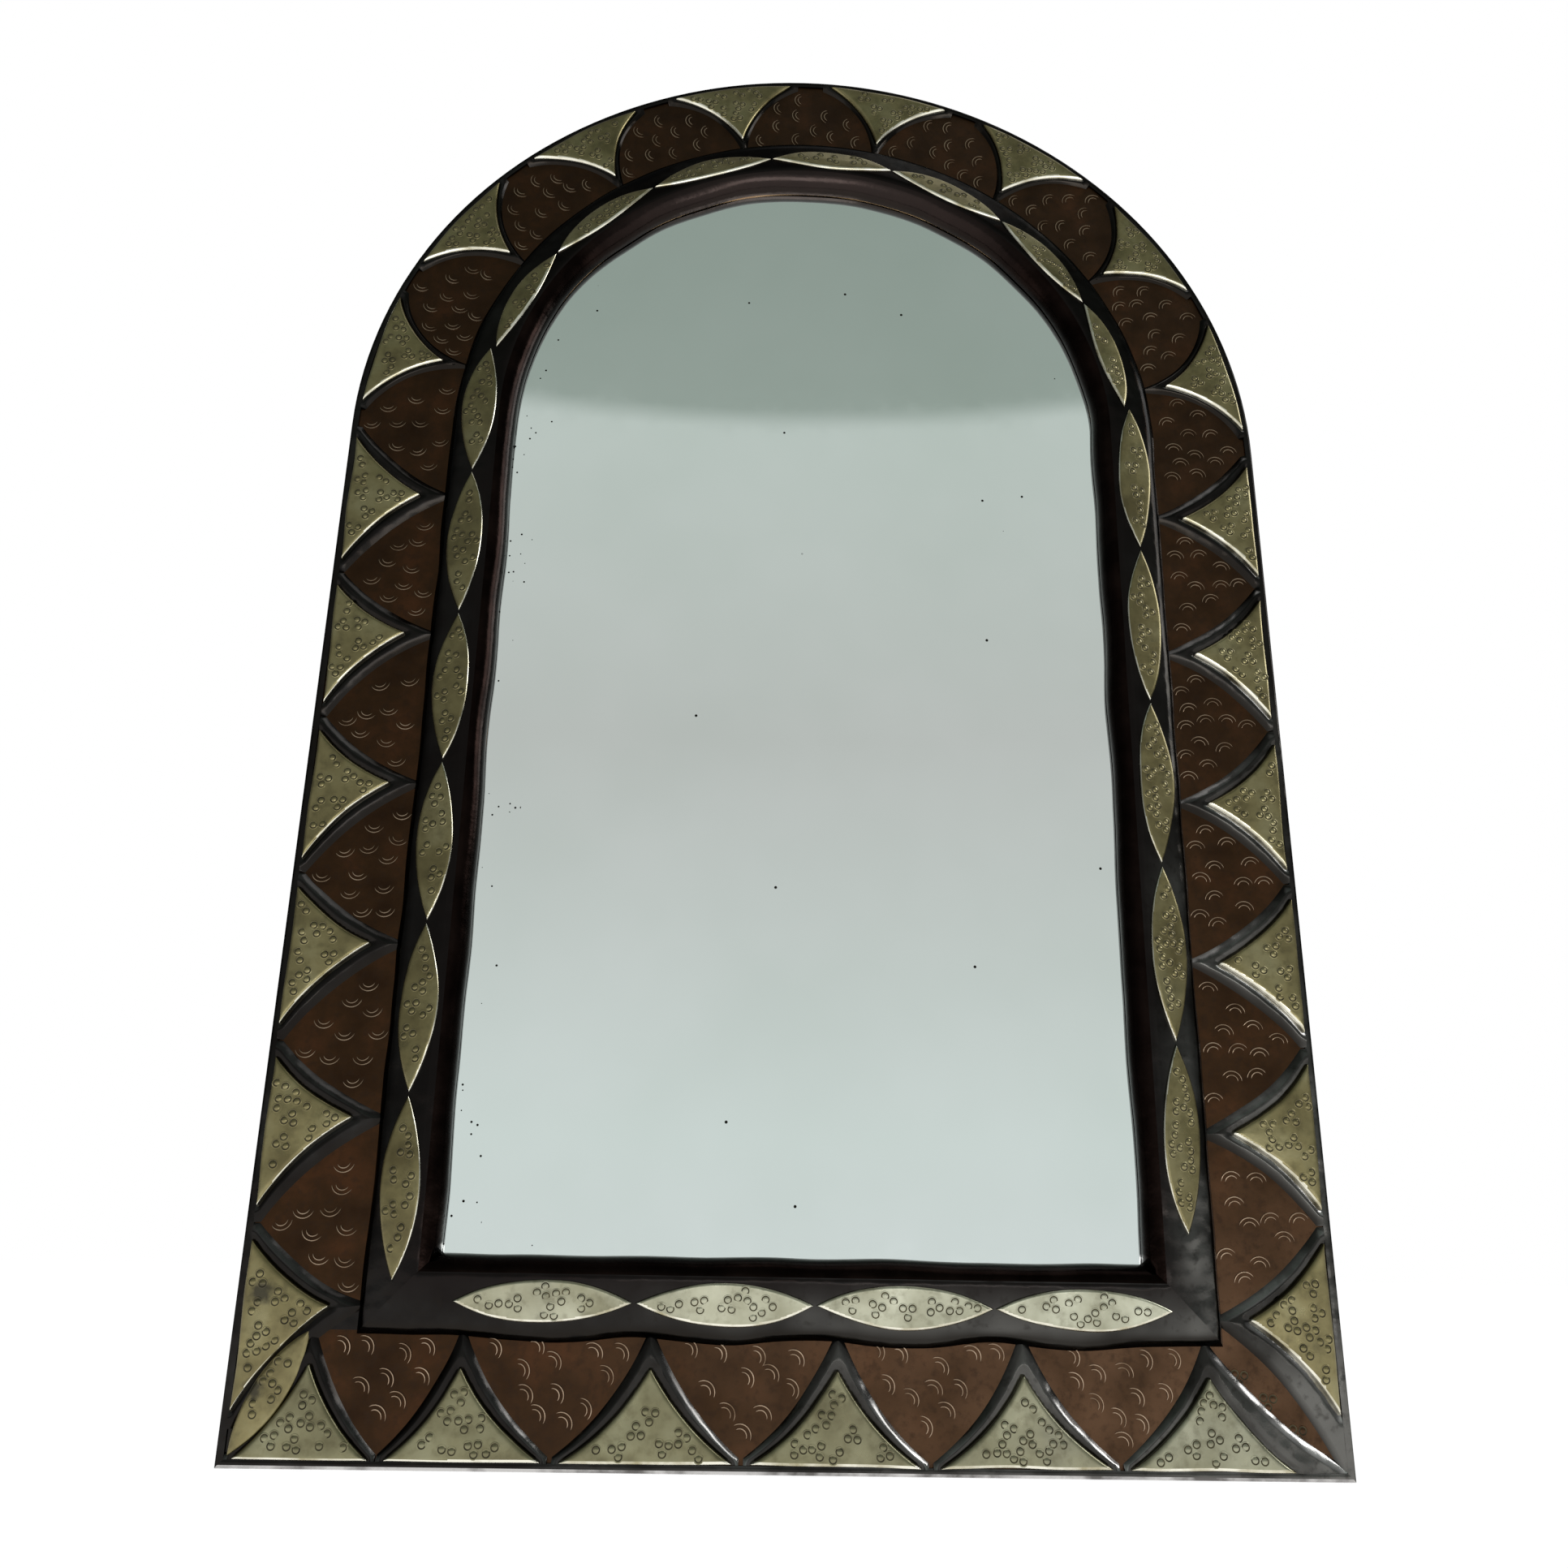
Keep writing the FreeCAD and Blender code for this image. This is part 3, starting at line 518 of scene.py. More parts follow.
def near_lines(grid, lines, reach):
    """Whether each cell of a grid lies within reach of one of the lines."""
    middle = (grid[:-1, :-1] + grid[1:, :-1] + grid[:-1, 1:] + grid[1:, 1:]) / 4
    near = np.zeros(middle.shape[:2], bool)
    for line in lines:
        near |= distance_to(middle, line) < reach
    return near


def hand_cut(locate):
    """Placing rule with the slight unevenness of sheet cut by hand."""
    def uneven(along, across, rise):
        x, y, z = locate(along, across, rise)
        aside = WOBBLE * wave((x, 0, z), WOBBLE_LENGTH)
        upward = WOBBLE * wave((z, WOBBLE_SHIFT, x), WOBBLE_LENGTH)
        return (x + aside, y, z + upward)
    return uneven


def climb(locate, side):
    """How much higher the middle of a hollow side lies than the axis of its spandrel."""
    along, across = side[len(side) // 2]
    return locate(along, across, 0)[2] - locate(0, across, 0)[2]


def brass_heights(gap, rise=BRASS_RISE, edge=BRASS_ROUND):
    """Rounded edge and a slight pillow."""
    return rise * rounded(gap, edge) + BRASS_PILLOW * (1 - np.exp(-gap / PILLOW_REACH))


def lens_heights(gap):
    return brass_heights(gap, LENS_RISE, LENS_ROUND)


def beaten(base, rise):
    """Rise above a place on the back of a sheet, with the slight unevenness of beaten metal."""
    return rise + WAVE_HEIGHT * wave(base, WAVE_LENGTH) * min(1, rise)


def raised_sheet(shell, locate, grid, heights, highlight=None):
    """Sheet whose back lies where locate puts it and whose front stands up by the heights."""
    front, back = [], []
    for spots, rises in zip(grid, heights):
        bases = [locate(*spot, 0) for spot in spots]
        back.append(bases)
        front.append([locate(*spot, beaten(base, rise)) for spot, base, rise in zip(spots, bases, rises)])
    shell.sheet(front, back, highlight)


def spandrel_locate(place, valley, depth):
    return hand_cut(lambda sideways, inset, rise: place(valley, inset, depth + rise, sideways))


def tin_piece(group, tin):
    shell = Shell()
    for place, valley, spread, brass_spread in spandrels()[group]:
        sides = tin_sides(place, valley, spread)
        grid, brass_loop = grid_between(*sides, TIN_GRID), loop_of(*brass_sides(brass_spread))
        hollows = [side[len(END_SHARES):] for side in sides]
        edge_gap = np.minimum(*[distance_to(grid, hollow) for hollow in hollows])
        brass_gap = np.where(is_inside(grid, brass_loop), 0, distance_to(grid, brass_loop))
        locate = spandrel_locate(place, valley, COPPER_FRONT)
        raised_sheet(shell, locate, grid, tin_heights(edge_gap, brass_gap))
    make_piece(f"tin_{group}", shell, [tin], [f"{group}_tin_plates"])


def brass_sheet(shells, locate, sides, heights, rng, lit_lines=(), lit_reach=0):
    """Raised brass between two sides, with a painted highlight within a reach of some lines, with ring marks
    on it.
    """
    sheet, marks = shells
    grid, loop = grid_between(*sides), loop_of(*sides)
    lit = near_lines(grid, lit_lines, lit_reach)
    raised_sheet(sheet, locate, grid, heights(distance_to(grid, loop)), lit)
    punch_rings(marks, locate, loop, heights, rng)


def make_brass(name, shells, metals, grime, replaced):
    """Piece of the sheet, with all the metals, and piece of its ring marks, with the first."""
    make_piece(name, shells[0], metals, [replaced])
    make_piece(f"{name}_rings", shells[1], [metals[0], grime])


def brass_piece(group, metals, grime, rng):
    """Brass spandrels, with a painted highlight on the edges that face down."""
    shells = Shell(), Shell()
    for place, valley, _, spread in spandrels()[group]:
        sides = brass_sides(spread)
        locate = spandrel_locate(place, valley, TIN_FRONT)
        lower = [side for side in sides if climb(locate, side) < -WOBBLE]
        if group == "bottom":
            lower = [np.array([sides[0][0], sides[1][0]])]
        on_left = group == "side" and locate(0, EDGE_LAP, 0)[0] < 0
        lit_reach = LEFT_BRASS_HIGHLIGHT_REACH if on_left else BRASS_HIGHLIGHT_REACH
        brass_sheet(shells, locate, sides, brass_heights, rng, lower, lit_reach)
    make_brass(f"brass_{group}", shells, metals, grime, f"{group}_brass_plates")


def leaf_piece(brass, grime, rng):
    shells = Shell(), Shell()
    sides = lens_sides(0, LEAF_LENGTH, -LEAF_HALF, LEAF_HALF)
    brass_sheet(shells, leaf_place, sides, brass_heights, rng)
    make_brass("leaf", shells, [brass], grime, "corner_leaf")


def lens_piece(group, metals, grime, rng):
    """Lenses, with a painted highlight along the edge next to the glass or, on the bottom, along the lower
    edge.
    """
    shells = Shell(), Shell()
    for place, start, end in lens_rows()[group]:

        def on_bead(along, inset, rise, place=place):
            return place(along, inset, bead_slope(inset) + rise)

        sides = lens_sides(start, end, *LENS_INSETS[group])
        lit = sides[:1] if group == "bottom" else sides[1:]
        brass_sheet(shells, hand_cut(on_bead), sides, lens_heights, rng, lit, LENS_HIGHLIGHT_REACH[group])
    make_brass(f"lenses_{group}", shells, metals, grime, f"{group}_lenses")


# Punched marks

def scatter(loop, margin, spacing, rng):
    """Random places inside an outline, apart from its edge and from each other."""
    low, high = loop.min(0), loop.max(0)
    found = []
    for _ in range(SCATTER_TRIES):
        spot = np.array([rng.uniform(low[0], high[0]), rng.uniform(low[1], high[1])])
        if any(np.hypot(*(spot - other)) < spacing for other in found):
            continue
        if is_inside(spot, loop) and distance_to(spot, loop) > margin:
            found.append(spot)
    return found


def axes_at(locate, spot, rise):
    """Middle of a mark on the surface, its two directions there and its outward normal."""
    step = 0.2
    along, across = spot
    middle = Vector(locate(along, across, rise))
    first = (Vector(locate(along + step, across, rise)) - middle).normalized()
    second = (Vector(locate(along, across + step, rise)) - middle).normalized()
    outward = first.cross(second).normalized()
    if outward.y > 0:
        outward.negate()
    return middle, first, second, outward


def ring_mark(shell, middle, first, second, outward):
    """Mark of a ring punch: a small dome in a groove with a raised rim, closed underneath."""
    turns = [2 * math.pi * k / RING_SIDES for k in range(RING_SIDES)]
    spokes = [first * math.cos(turn) + second * math.sin(turn) for turn in turns]
    rings = [[middle + spoke * radius + outward * rise for spoke in spokes] for radius, rise in RING_PROFILE]
    shell.tube(rings, [int(k in RING_GROOVE) for k in range(len(rings) - 1)])


def cluster(centre, turn):
    """Places of the ring marks of one cluster."""
    angles = [turn + k * 2 * math.pi / CLUSTER_COUNT for k in range(CLUSTER_COUNT)]
    return [centre + CLUSTER_RADIUS * np.array([math.cos(angle), math.sin(angle)]) for angle in angles]


def punch_rings(shell, locate, loop, heights, rng):
    """Clusters of ring marks inside an outline."""
    for centre in scatter(loop, RING_MARGIN, CLUSTER_SPACING, rng):
        for spot in cluster(centre, rng.uniform(0, 2 * math.pi)):
            gap = distance_to(spot, loop)
            if is_inside(spot, loop) and gap > LEAST_RING_MARGIN:
                rise = beaten(locate(*spot, 0), float(heights(gap)))
                ring_mark(shell, *axes_at(locate, spot, rise))


def crescent_mark(shell, middle, first, second, outward, facing):
    """Mark of a crescent punch: two nested arcs that bulge towards the facing angle."""
    for radius in CRESCENT_RADII:
        rings = []
        for share in np.linspace(-1, 1, CRESCENT_STEPS + 1):
            turn = facing + math.radians(CRESCENT_HALF_ANGLE) * share
            taper = math.sqrt(max(1e-4, 1 - share * share))
            spoke = first * math.cos(turn) + second * math.sin(turn)
            ring = []
            for aside, rise in CRESCENT_SECTION:
                reach = radius + aside * CRESCENT_HALF_WIDTH * taper
                lift = rise * taper if rise > 0 else rise
                ring.append(middle + spoke * reach + outward * lift)
            rings.append(ring)
        shell.tube(rings, [0] * CRESCENT_STEPS)


def scale_loops():
    """Outline of each copper scale between two tin plates, with its placing rule, by row."""
    groups = spandrels()
    side, over, bottom = groups["side"], groups["arch"], groups["bottom"]
    rows = {
        "left": side[:SIDE_SCALE_COUNT] + over[:1], "arch": over,
        "right": over[-1:] + side[SIDE_SCALE_COUNT:], "bottom": bottom}
    loops = {}
    for row, plates in rows.items():
        loops[row] = []
        for lower, upper in zip(plates, plates[1:]):
            near = tin_sides(*lower[:3])[1]
            far = tin_sides(*upper[:3])[0]
            for edge, (place, valley, _, _) in ((near, lower), (far, upper)):
                edge[:, 0] = valley + edge[:, 0] / (EDGE_STRETCH if on_arch(place, valley) else 1)
            loops[row].append((lower[0], loop_of(near, far)))
    return loops


def crescent_piece(row, material, rng):
    shell = Shell()
    for place, loop in scale_loops()[row]:

        def locate(along, inset, rise, place=place):
            return place(along, inset, COPPER_FRONT + rise)

        facing = CRESCENT_TURN if row == "bottom" else math.pi
        for spot in scatter(loop, CRESCENT_MARGIN, CRESCENT_SPACING, rng):
            lean = rng.uniform(-CRESCENT_LEAN, CRESCENT_LEAN)
            crescent_mark(shell, *axes_at(locate, spot, 0), facing + lean)
    make_piece(f"copper_{row}_crescents", shell, [material])


def corner_rings(copper, grime):
    """Ring marks on the copper that shows in the lower right corner."""
    shell = Shell()

    def locate(x, z, rise):
        return (x, -COPPER_FRONT - rise, z)

    for place in CORNER_CLUSTERS:
        for spot in cluster(np.array(place), CORNER_CLUSTER_TURN):
            ring_mark(shell, *axes_at(locate, spot, 0))
    make_piece("copper_corner_rings", shell, [copper, grime])


# Sheet metal bent over the bead and the outer edge

def cover_profile():
    """Inset and depth over the bead from its foot to the glass, with a rounded shoulder."""
    low = WOOD_DEPTH + SHOULDER_RISE
    foot = [(BAND + step, COPPER_FRONT + rise) for step, rise in COVER_FOOT]
    shoulder = [(BAND + step, low + rise) for step, rise in COVER_SHOULDER]
    before, after = COVER_SLOPE_MARGINS
    insets = np.linspace(BEAD_SHOULDER + before, BEAD_CREST - after, COVER_SLOPE_COUNT)
    slope = [(inset, bead_slope(inset)) for inset in insets]
    roll = arc(
        (BEAD_CREST, WOOD_DEPTH + CREST_RISE - CREST_SINK), (BEAD_ROUND, WOOD_DEPTH + ROUND_RISE),
        (BEAD_EDGE, WOOD_DEPTH + EDGE_RISE), np.linspace(0, 1, COVER_ROLL_COUNT))
    return np.concatenate([foot, shoulder, slope, roll])


def edge_profile():
    """Inset and depth round the outer edge, from the wall to the front."""
    wall = [(0, depth) for depth in EDGE_WALL_DEPTHS]
    return np.array(wall + [(inset, TIN_FRONT + rise) for inset, rise in EDGE_NOSE])


def inner_profile(profile):
    """Profile moved by the sheet's thickness towards the wood."""
    run = np.gradient(profile, axis=0)
    normal = np.stack([run[:, 1], -run[:, 0]], -1)
    return profile + SHEET * normal / np.linalg.norm(normal, axis=1)[:, None]


def stations(run, inset, count, spring):
    """Places along a run at one inset; the runs meet in mitres at the lower corners."""
    ends = {
        "left": (inset, spring), "arch": (spring, spring + ARCH_RUN),
        "right": (spring + ARCH_RUN, 2 * spring + ARCH_RUN - inset), "bottom": (inset, WIDTH - inset)}
    return np.linspace(*ends[run], count)


def run_waves(run, along, inset):
    """Uneven foot and lip of the bead's cover, calm at the mitres."""
    start, end = stations(run, inset, 2, BEAD_SPRING)
    gaps = {
        "left": along - start, "arch": MITRE_CALM, "right": end - along,
        "bottom": min(along - start, end - along)}
    calm = smooth(gaps[run] / MITRE_CALM)
    lip = smooth((inset - BEAD_CREST) / (BEAD_EDGE - BEAD_CREST))
    foot = smooth((BEAD_SHOULDER - inset) / (BEAD_SHOULDER - BAND))
    place = rail if run == "bottom" else bead_walk
    spot = place(along, BAND, 0)
    lip_shift = lip * LIP_WAVE * wave(spot, LIP_WAVE_LENGTH)
    foot_shift = foot * FOOT_WAVE * wave(spot, FOOT_WAVE_LENGTH)
    if run == "bottom":
        foot_shift -= foot * scallop(along)
    return calm * (lip_shift + foot_shift)


def scallop(along):
    """How far the bead's foot bows outwards below each of the bottom lenses."""
    share = (along - LENS_BOTTOM_LEFT) / (LENS_BOTTOM_END - LENS_BOTTOM_LEFT)
    if not 0 < share < 1:
        return 0
    return FOOT_SCALLOP * (1 - math.cos(2 * math.pi * BOTTOM_LENS_COUNT * share)) / 2


def swept(shell, run, profile, on_bead, count, kinds):
    """Bent sheet of a profile, whose stretches have kinds, along a run of the edge or, unevenly, the bead."""
    spring = BEAD_SPRING if on_bead else SPRING
    round_way = bead_walk if on_bead else walk
    place = rail if run == "bottom" else round_way
    faces = []
    for outline in (profile, inner_profile(profile)):
        grid = []
        for (inset, depth), (guide, _) in zip(outline, profile):
            line = []
            for along in stations(run, inset, count, spring):
                shift = run_waves(run, along, guide) if on_bead else 0
                line.append(place(along, inset + shift, depth))
            grid.append(line)
        faces.append(grid)
    shell.sheet(*faces, [[kind] * (count - 1) for kind in kinds])


def cover_pieces(tin, lip, highlight):
    """Tin over the bead, painted dark as shade towards the glass and with a painted highlight along its foot
    in two runs.
    """
    profile = cover_profile()
    kinds = (profile[1:, 0] > BEAD_CREST + LIP_START).astype(int)
    for run, count in COVER_STATIONS.items():
        kinds[:2] = HIGHLIGHT_FEET.get(run, (0, 0))
        shell = Shell()
        swept(shell, run, profile, True, count, kinds)
        make_piece(f"cover_{run}", shell, [tin, lip, highlight], [f"{run}_bead_cover"], COVER_CREASE_ANGLE)


def edge_pieces(tin, highlight):
    """Tin round the outer edge, with a painted highlight along the nose of the foot."""
    profile = edge_profile()
    on_nose = (profile[1:, 0] < NOSE_INSET) & (profile[1:, 1] > TIN_FRONT - NOSE_INSET)
    sides, foot = Shell(), Shell()
    for run, count in EDGE_STATIONS.items():
        at_foot = run == "bottom"
        swept(foot if at_foot else sides, run, profile, False, count, on_nose & at_foot)
    make_piece("edge_sides", sides, [tin], ["edge_strip"])
    make_piece("edge_foot", foot, [tin, highlight], ["foot_strip"])


# Materials

class Tree:
    """Nodes of a material or of the world."""

    def __init__(self, owner):
        owner.use_nodes = True
        self.nodes = owner.node_tree.nodes
        self.links = owner.node_tree.links

    def put(self, socket, value):
        """Links an output to an input, or sets the input to a plain value."""
        if isinstance(value, bpy.types.NodeSocket):
            self.links.new(value, socket)
        else:
            socket.default_value = value

    def add(self, kind, values=None, **settings):
        """New node with its settings and with the values of its inputs, by name or by number."""
        node = self.nodes.new(kind)
        for name, setting in settings.items():
            setattr(node, name, setting)
        for key, value in (values or {}).items():
            self.put(node.inputs[key], value)
        return node

    def ramp(self, value, *stops):
        """Colour that passes through the stops, each a position and a colour."""
        ramp = self.add("ShaderNodeValToRGB", {"Fac": value})
        elements = ramp.color_ramp.elements
        while len(elements) < len(stops):
            elements.new(0.5)
        for element, (position, colour) in zip(elements, stops):
            element.position = position
            element.color = (*colour, 1)
        return ramp.outputs["Color"]

    def remap(self, value, low, high, new_low, new_high):
        limits = {"From Min": low, "From Max": high, "To Min": new_low, "To Max": new_high}
        return self.add("ShaderNodeMapRange", {"Value": value, **limits}).outputs["Result"]

    def maths(self, operation, first, second=0):
        """Result of an operation on an output and, for most, another output or a number."""
        return self.add("ShaderNodeMath", {0: first, 1: second}, operation=operation).outputs["Value"]

    def times(self, first, *others):
        """Product of an output and other outputs or numbers."""
        for other in others:
            first = self.maths("MULTIPLY", first, other)
        return first

    def blend(self, share, first, second):
        """Shader between two shaders."""
        return self.add("ShaderNodeMixShader", {"Fac": share, 1: first, 2: second}).outputs["Shader"]

    def end(self, kind, shine, seen):
        """Ends in one shader for the camera and another for all that is lit or mirrors."""
        path = self.add("ShaderNodeLightPath")
        self.add(kind, {"Surface": self.blend(path.outputs["Is Camera Ray"], shine, seen)})


class Paint(Tree):
    """Nodes of a material that end in one surface shader."""

    def __init__(self, name):
        self.material = bpy.data.materials.new(name)
        super().__init__(self.material)
        self.surface = self.nodes["Principled BSDF"]
        self.place = self.add("ShaderNodeTexCoord").outputs["Object"]

    def stretched(self, sizes, turn):
        """Place turned about the Y axis and measured in its own size in metres on each axis."""
        values = {"Vector": self.place, "Rotation": (0, math.radians(turn), 0), "Scale": sizes}
        return self.add("ShaderNodeMapping", values, vector_type="TEXTURE").outputs["Vector"]

    def noise(self, size, detail=4, rough=0.55, place=None):
        """Noise with features of a size in metres."""
        values = {"Vector": place or self.place, "Scale": 1 / size, "Detail": detail, "Roughness": rough}
        return self.add("ShaderNodeTexNoise", values).outputs["Fac"]

    def uneven(self, size, detail, low, high):
        """Noise, which mostly lies between 0.3 and 0.7, spread over a range."""
        return self.remap(self.noise(size, detail), 0.3, 0.7, low, high)

    def spots(self, size):
        """Cells of a size in metres: distance from a cell's middle, and two numbers of that cell."""
        cells = self.add("ShaderNodeTexVoronoi", {"Vector": self.place, "Scale": 1 / size})
        parts = self.add("ShaderNodeSeparateColor", {"Color": cells.outputs["Color"]})
        return cells.outputs["Distance"], parts.outputs["Red"], parts.outputs["Green"]

    def mix(self, share, first, second):
        """Colour between two colours; the second may be a plain colour."""
        if isinstance(second, tuple):
            second = (*second, 1)
        values = {"Factor": share, "A": first, "B": second}
        return self.add("ShaderNodeMix", values, data_type="RGBA").outputs["Result"]

    def axis(self, name):
        """One coordinate of the place in metres."""
        return self.add("ShaderNodeSeparateXYZ", {"Vector": self.place}).outputs[name]

    def inset(self):
        """Distance in metres inwards from the outer edge, as far as the bead reaches."""
        above = self.maths("SUBTRACT", self.axis("Z"), (BEAD_SPRING - ORIGIN_RISE) * MM)
        rise = self.maths("MAXIMUM", above, 0)
        x = self.axis("X")
        squares = self.maths("ADD", self.times(x, x), self.times(rise, rise))
        aside = self.times(self.maths("SQRT", squares), -1)
        height = self.maths("ADD", self.axis("Z"), ORIGIN_RISE * MM)
        return self.maths("MINIMUM", self.maths("ADD", aside, HALF * MM), height)

    def vector(self, operation, first, second=(0, 0, 0)):
        return self.add("ShaderNodeVectorMath", {0: first, 1: second}, operation=operation)

    def distance(self, x, z):
        """Distance in metres, in the plane of the front, from a place given in millimetres."""
        offset = self.vector("SUBTRACT", self.place, (x * MM, 0, (z - ORIGIN_RISE) * MM))
        flat = self.vector("MULTIPLY", offset.outputs["Vector"], (1, 0, 1))
        return self.vector("LENGTH", flat.outputs["Vector"]).outputs["Value"]

    def facing(self, direction):
        """How squarely the surface faces a direction, from -1 to 1."""
        normal = self.add("ShaderNodeNewGeometry").outputs["Normal"]
        return self.vector("DOT_PRODUCT", normal, direction).outputs["Value"]

    def bump(self, height, distance, strength=1):
        values = {"Strength": strength, "Distance": distance, "Height": height}
        self.put(self.surface.inputs["Normal"], self.add("ShaderNodeBump", values).outputs["Normal"])

    def finish(self, colour, roughness, metallic=1, **others):
        """Material whose surface has this colour, this roughness and other values."""
        values = {"base_color": colour, "roughness": roughness, "metallic": metallic, **others}
        for name, value in values.items():
            self.put(self.surface.inputs[name.replace("_", " ").title()], value)
        return self.material


def brass_paint(name, olive_stops, pale_left, pale_right):
    """Olive brass with a share of pale brass, painted light, that changes from left to right; below 0 is
    none.
    """
    paint = Paint(name)
    olive = paint.ramp(paint.noise(0.016), *olive_stops)
    # Pale brass that stands in for light falling on it: painted light
    lit = paint.ramp(paint.noise(0.02), (0.3, (0.215, 0.215, 0.15)), (0.7, (0.5, 0.51, 0.4)))
    share = paint.remap(paint.axis("X"), -HALF * MM, HALF * MM, pale_left, pale_right)
    patches = paint.mix(share, olive, lit)
    dirt = paint.remap(paint.noise(0.004, 6), 0.3, 0.48, 0.35, 0)
    colour = paint.mix(dirt, patches, (0.08, 0.07, 0.032))
    for x, z, size in STAINS:
        frayed = paint.remap(paint.noise(0.003, 5), 0, 1, -STAIN_FRAY, STAIN_FRAY)
        ragged = paint.maths("ADD", paint.distance(x, z), frayed)
        stain = paint.remap(ragged, size, 0.4 * size, 0, 0.85)
        colour = paint.mix(stain, colour, (0.018, 0.016, 0.011))
    paint.bump(paint.noise(0.0035, 3), 0.00012, 0.5)
    rough = paint.uneven(0.007, 5, 0.24, 0.42)
    return paint.finish(colour, rough, coat_weight=0.35, coat_roughness=0.18)


def edge_highlight_paint(name, dim, bright):
    """Metal painted bright along its edges as a painted highlight, with dimmer stretches."""
    paint = Paint(name)
    colour = paint.ramp(paint.noise(0.012), (0.32, dim), (0.58, bright))
    paint.bump(paint.noise(0.003, 3), 0.00008, 0.4)
    return paint.finish(colour, paint.uneven(0.005, 4, 0.16, 0.3))


def lip_paint():
    """Tin that bends down to the glass, painted nearly black as shade and less dark at the top of the arch as
    a painted reflection.
    """
    paint = Paint("shaded_lip")
    dark = paint.ramp(paint.noise(0.015), (0.35, (0.004, 0.0024, 0.002)), (0.65, (0.01, 0.006, 0.005)))
    # Painted reflection: lighter lip at the top of the arch
    high = paint.remap(paint.axis("Z"), 0.46, 0.53, 0, 1)
    colour = paint.mix(high, dark, (0.03, 0.023, 0.021))
    paint.bump(paint.noise(0.008, 3), 0.0004, 0.5)
    return paint.finish(colour, paint.uneven(0.006, 5, 0.14, 0.26))


def grime_paint():
    """Dark dirt that lies in the grooves of the ring marks."""
    paint = Paint("grime")
    colour = paint.ramp(paint.noise(0.003, 5), (0.35, (0.02, 0.017, 0.009)), (0.65, (0.075, 0.065, 0.034)))
    return paint.finish(colour, paint.uneven(0.002, 4, 0.4, 0.6), metallic=0.8)


def worn_lit_copper_paint():
    """Copper bright on the punched crescents: partly rubbed crests, partly a painted highlight."""
    paint = Paint("worn_lit_copper")
    colour = paint.ramp(paint.noise(0.006, 5), (0.3, (0.15, 0.098, 0.06)), (0.65, (0.37, 0.275, 0.195)))
    paint.bump(paint.noise(0.002, 3), 0.00006, 0.4)
    return paint.finish(colour, paint.uneven(0.004, 4, 0.24, 0.4))


def copper_paint():
    """Dark copper, with painted light that makes it paler towards the lower right."""
    paint = Paint("dark_copper")
    patches = paint.ramp(
        paint.noise(0.019),
        (0.28, (0.017, 0.0075, 0.0028)), (0.5, (0.031, 0.0145, 0.0055)), (0.74, (0.058, 0.023, 0.009)))
    # Painted light: paler copper towards the lower right, where the light falls
    pale = paint.ramp(paint.noise(0.016), (0.3, (0.044, 0.023, 0.011)), (0.7, (0.104, 0.056, 0.03)))
    right = paint.remap(paint.axis("X"), -0.12, 0.12, 0, 1)
    low = paint.remap(paint.axis("Z"), 0.01, 0.1, 1, 0.1)
    lit = paint.mix(paint.times(right, low), patches, pale)
    dirt = paint.remap(paint.noise(0.003, 6), 0.32, 0.5, 0.5, 0)
    colour = paint.mix(dirt, lit, (0.024, 0.013, 0.007))
    paint.bump(paint.noise(0.006, 3), 0.0003, 0.5)
    rough = paint.uneven(0.008, 5, 0.34, 0.5)
    return paint.finish(colour, rough, coat_weight=0.08, coat_roughness=0.25)


def tin_paint():
    """Dark tin, with painted shade that makes it nearly black towards the glass and on faces turned from the
    light, painted light that makes it paler towards the lower right, and a painted highlight on flanks facing
    the light.
    """
    paint = Paint("dark_tin")
    dark = paint.ramp(
        paint.noise(0.022),
        (0.3, (0.005, 0.0037, 0.003)), (0.55, (0.01, 0.0088, 0.0078)), (0.78, (0.02, 0.0195, 0.0185)))
    # Painted light: paler tin towards the lower right and low down, on the front faces
    pale = paint.ramp(paint.noise(0.03, 2), (0.36, (0.02, 0.019, 0.017)), (0.66, (0.1, 0.098, 0.09)))
    right = paint.remap(paint.axis("X"), -0.1, 0.16, 0, 1)
    low = paint.remap(paint.axis("Z"), 0, 0.34, 1, 0)
    front = paint.remap(paint.axis("Y"), -WOOD_DEPTH * MM, -TIN_FRONT * MM, 0, 1)
    patches = paint.mix(paint.times(right, low, front), dark, pale)
    dirt = paint.remap(paint.noise(0.0035, 6), 0.3, 0.46, 0.5, 0)
    inset = paint.inset()
    # Painted shade: nearly black towards the glass
    shade = paint.remap(inset, 0.052, 0.063, 0, 0.9)
    upward = paint.facing(LIGHT_FROM)
    # Painted shade: darker on faces turned away from the light, mixed with the real dirt
    dim = paint.remap(upward, 0.05, 0.4, 0.8, 0)
    dirt_and_shade = paint.mix(paint.maths("MAXIMUM", dirt, dim), patches, (0.009, 0.007, 0.005))
    plain = paint.mix(shade, dirt_and_shade, (0.006, 0.004, 0.0035))
    # Painted highlight: pale tin on the flanks that face the light, strongest low down to the right
    highlight = paint.ramp(paint.noise(0.012), (0.32, (0.16, 0.155, 0.15)), (0.56, (0.58, 0.57, 0.56)))
    lit = paint.times(
        front, paint.remap(upward, 0.72, 0.9, 0, 1),
        paint.remap(paint.axis("X"), -0.08, 0.16, 0.12, 1),
        paint.remap(paint.axis("Z"), 0, 0.5, 1, 0.3), paint.remap(inset, 0.012, 0.04, 1, 0.3))
    dents = paint.times(paint.noise(0.02, 2), 20)
    paint.bump(paint.maths("ADD", dents, paint.noise(0.005, 3)), 0.00008)
    return paint.finish(
        paint.mix(lit, plain, highlight), paint.uneven(0.006, 5, 0.12, 0.24),
        specular_tint=(0.25, 0.25, 0.25, 1), coat_weight=0.12, coat_roughness=0.15)


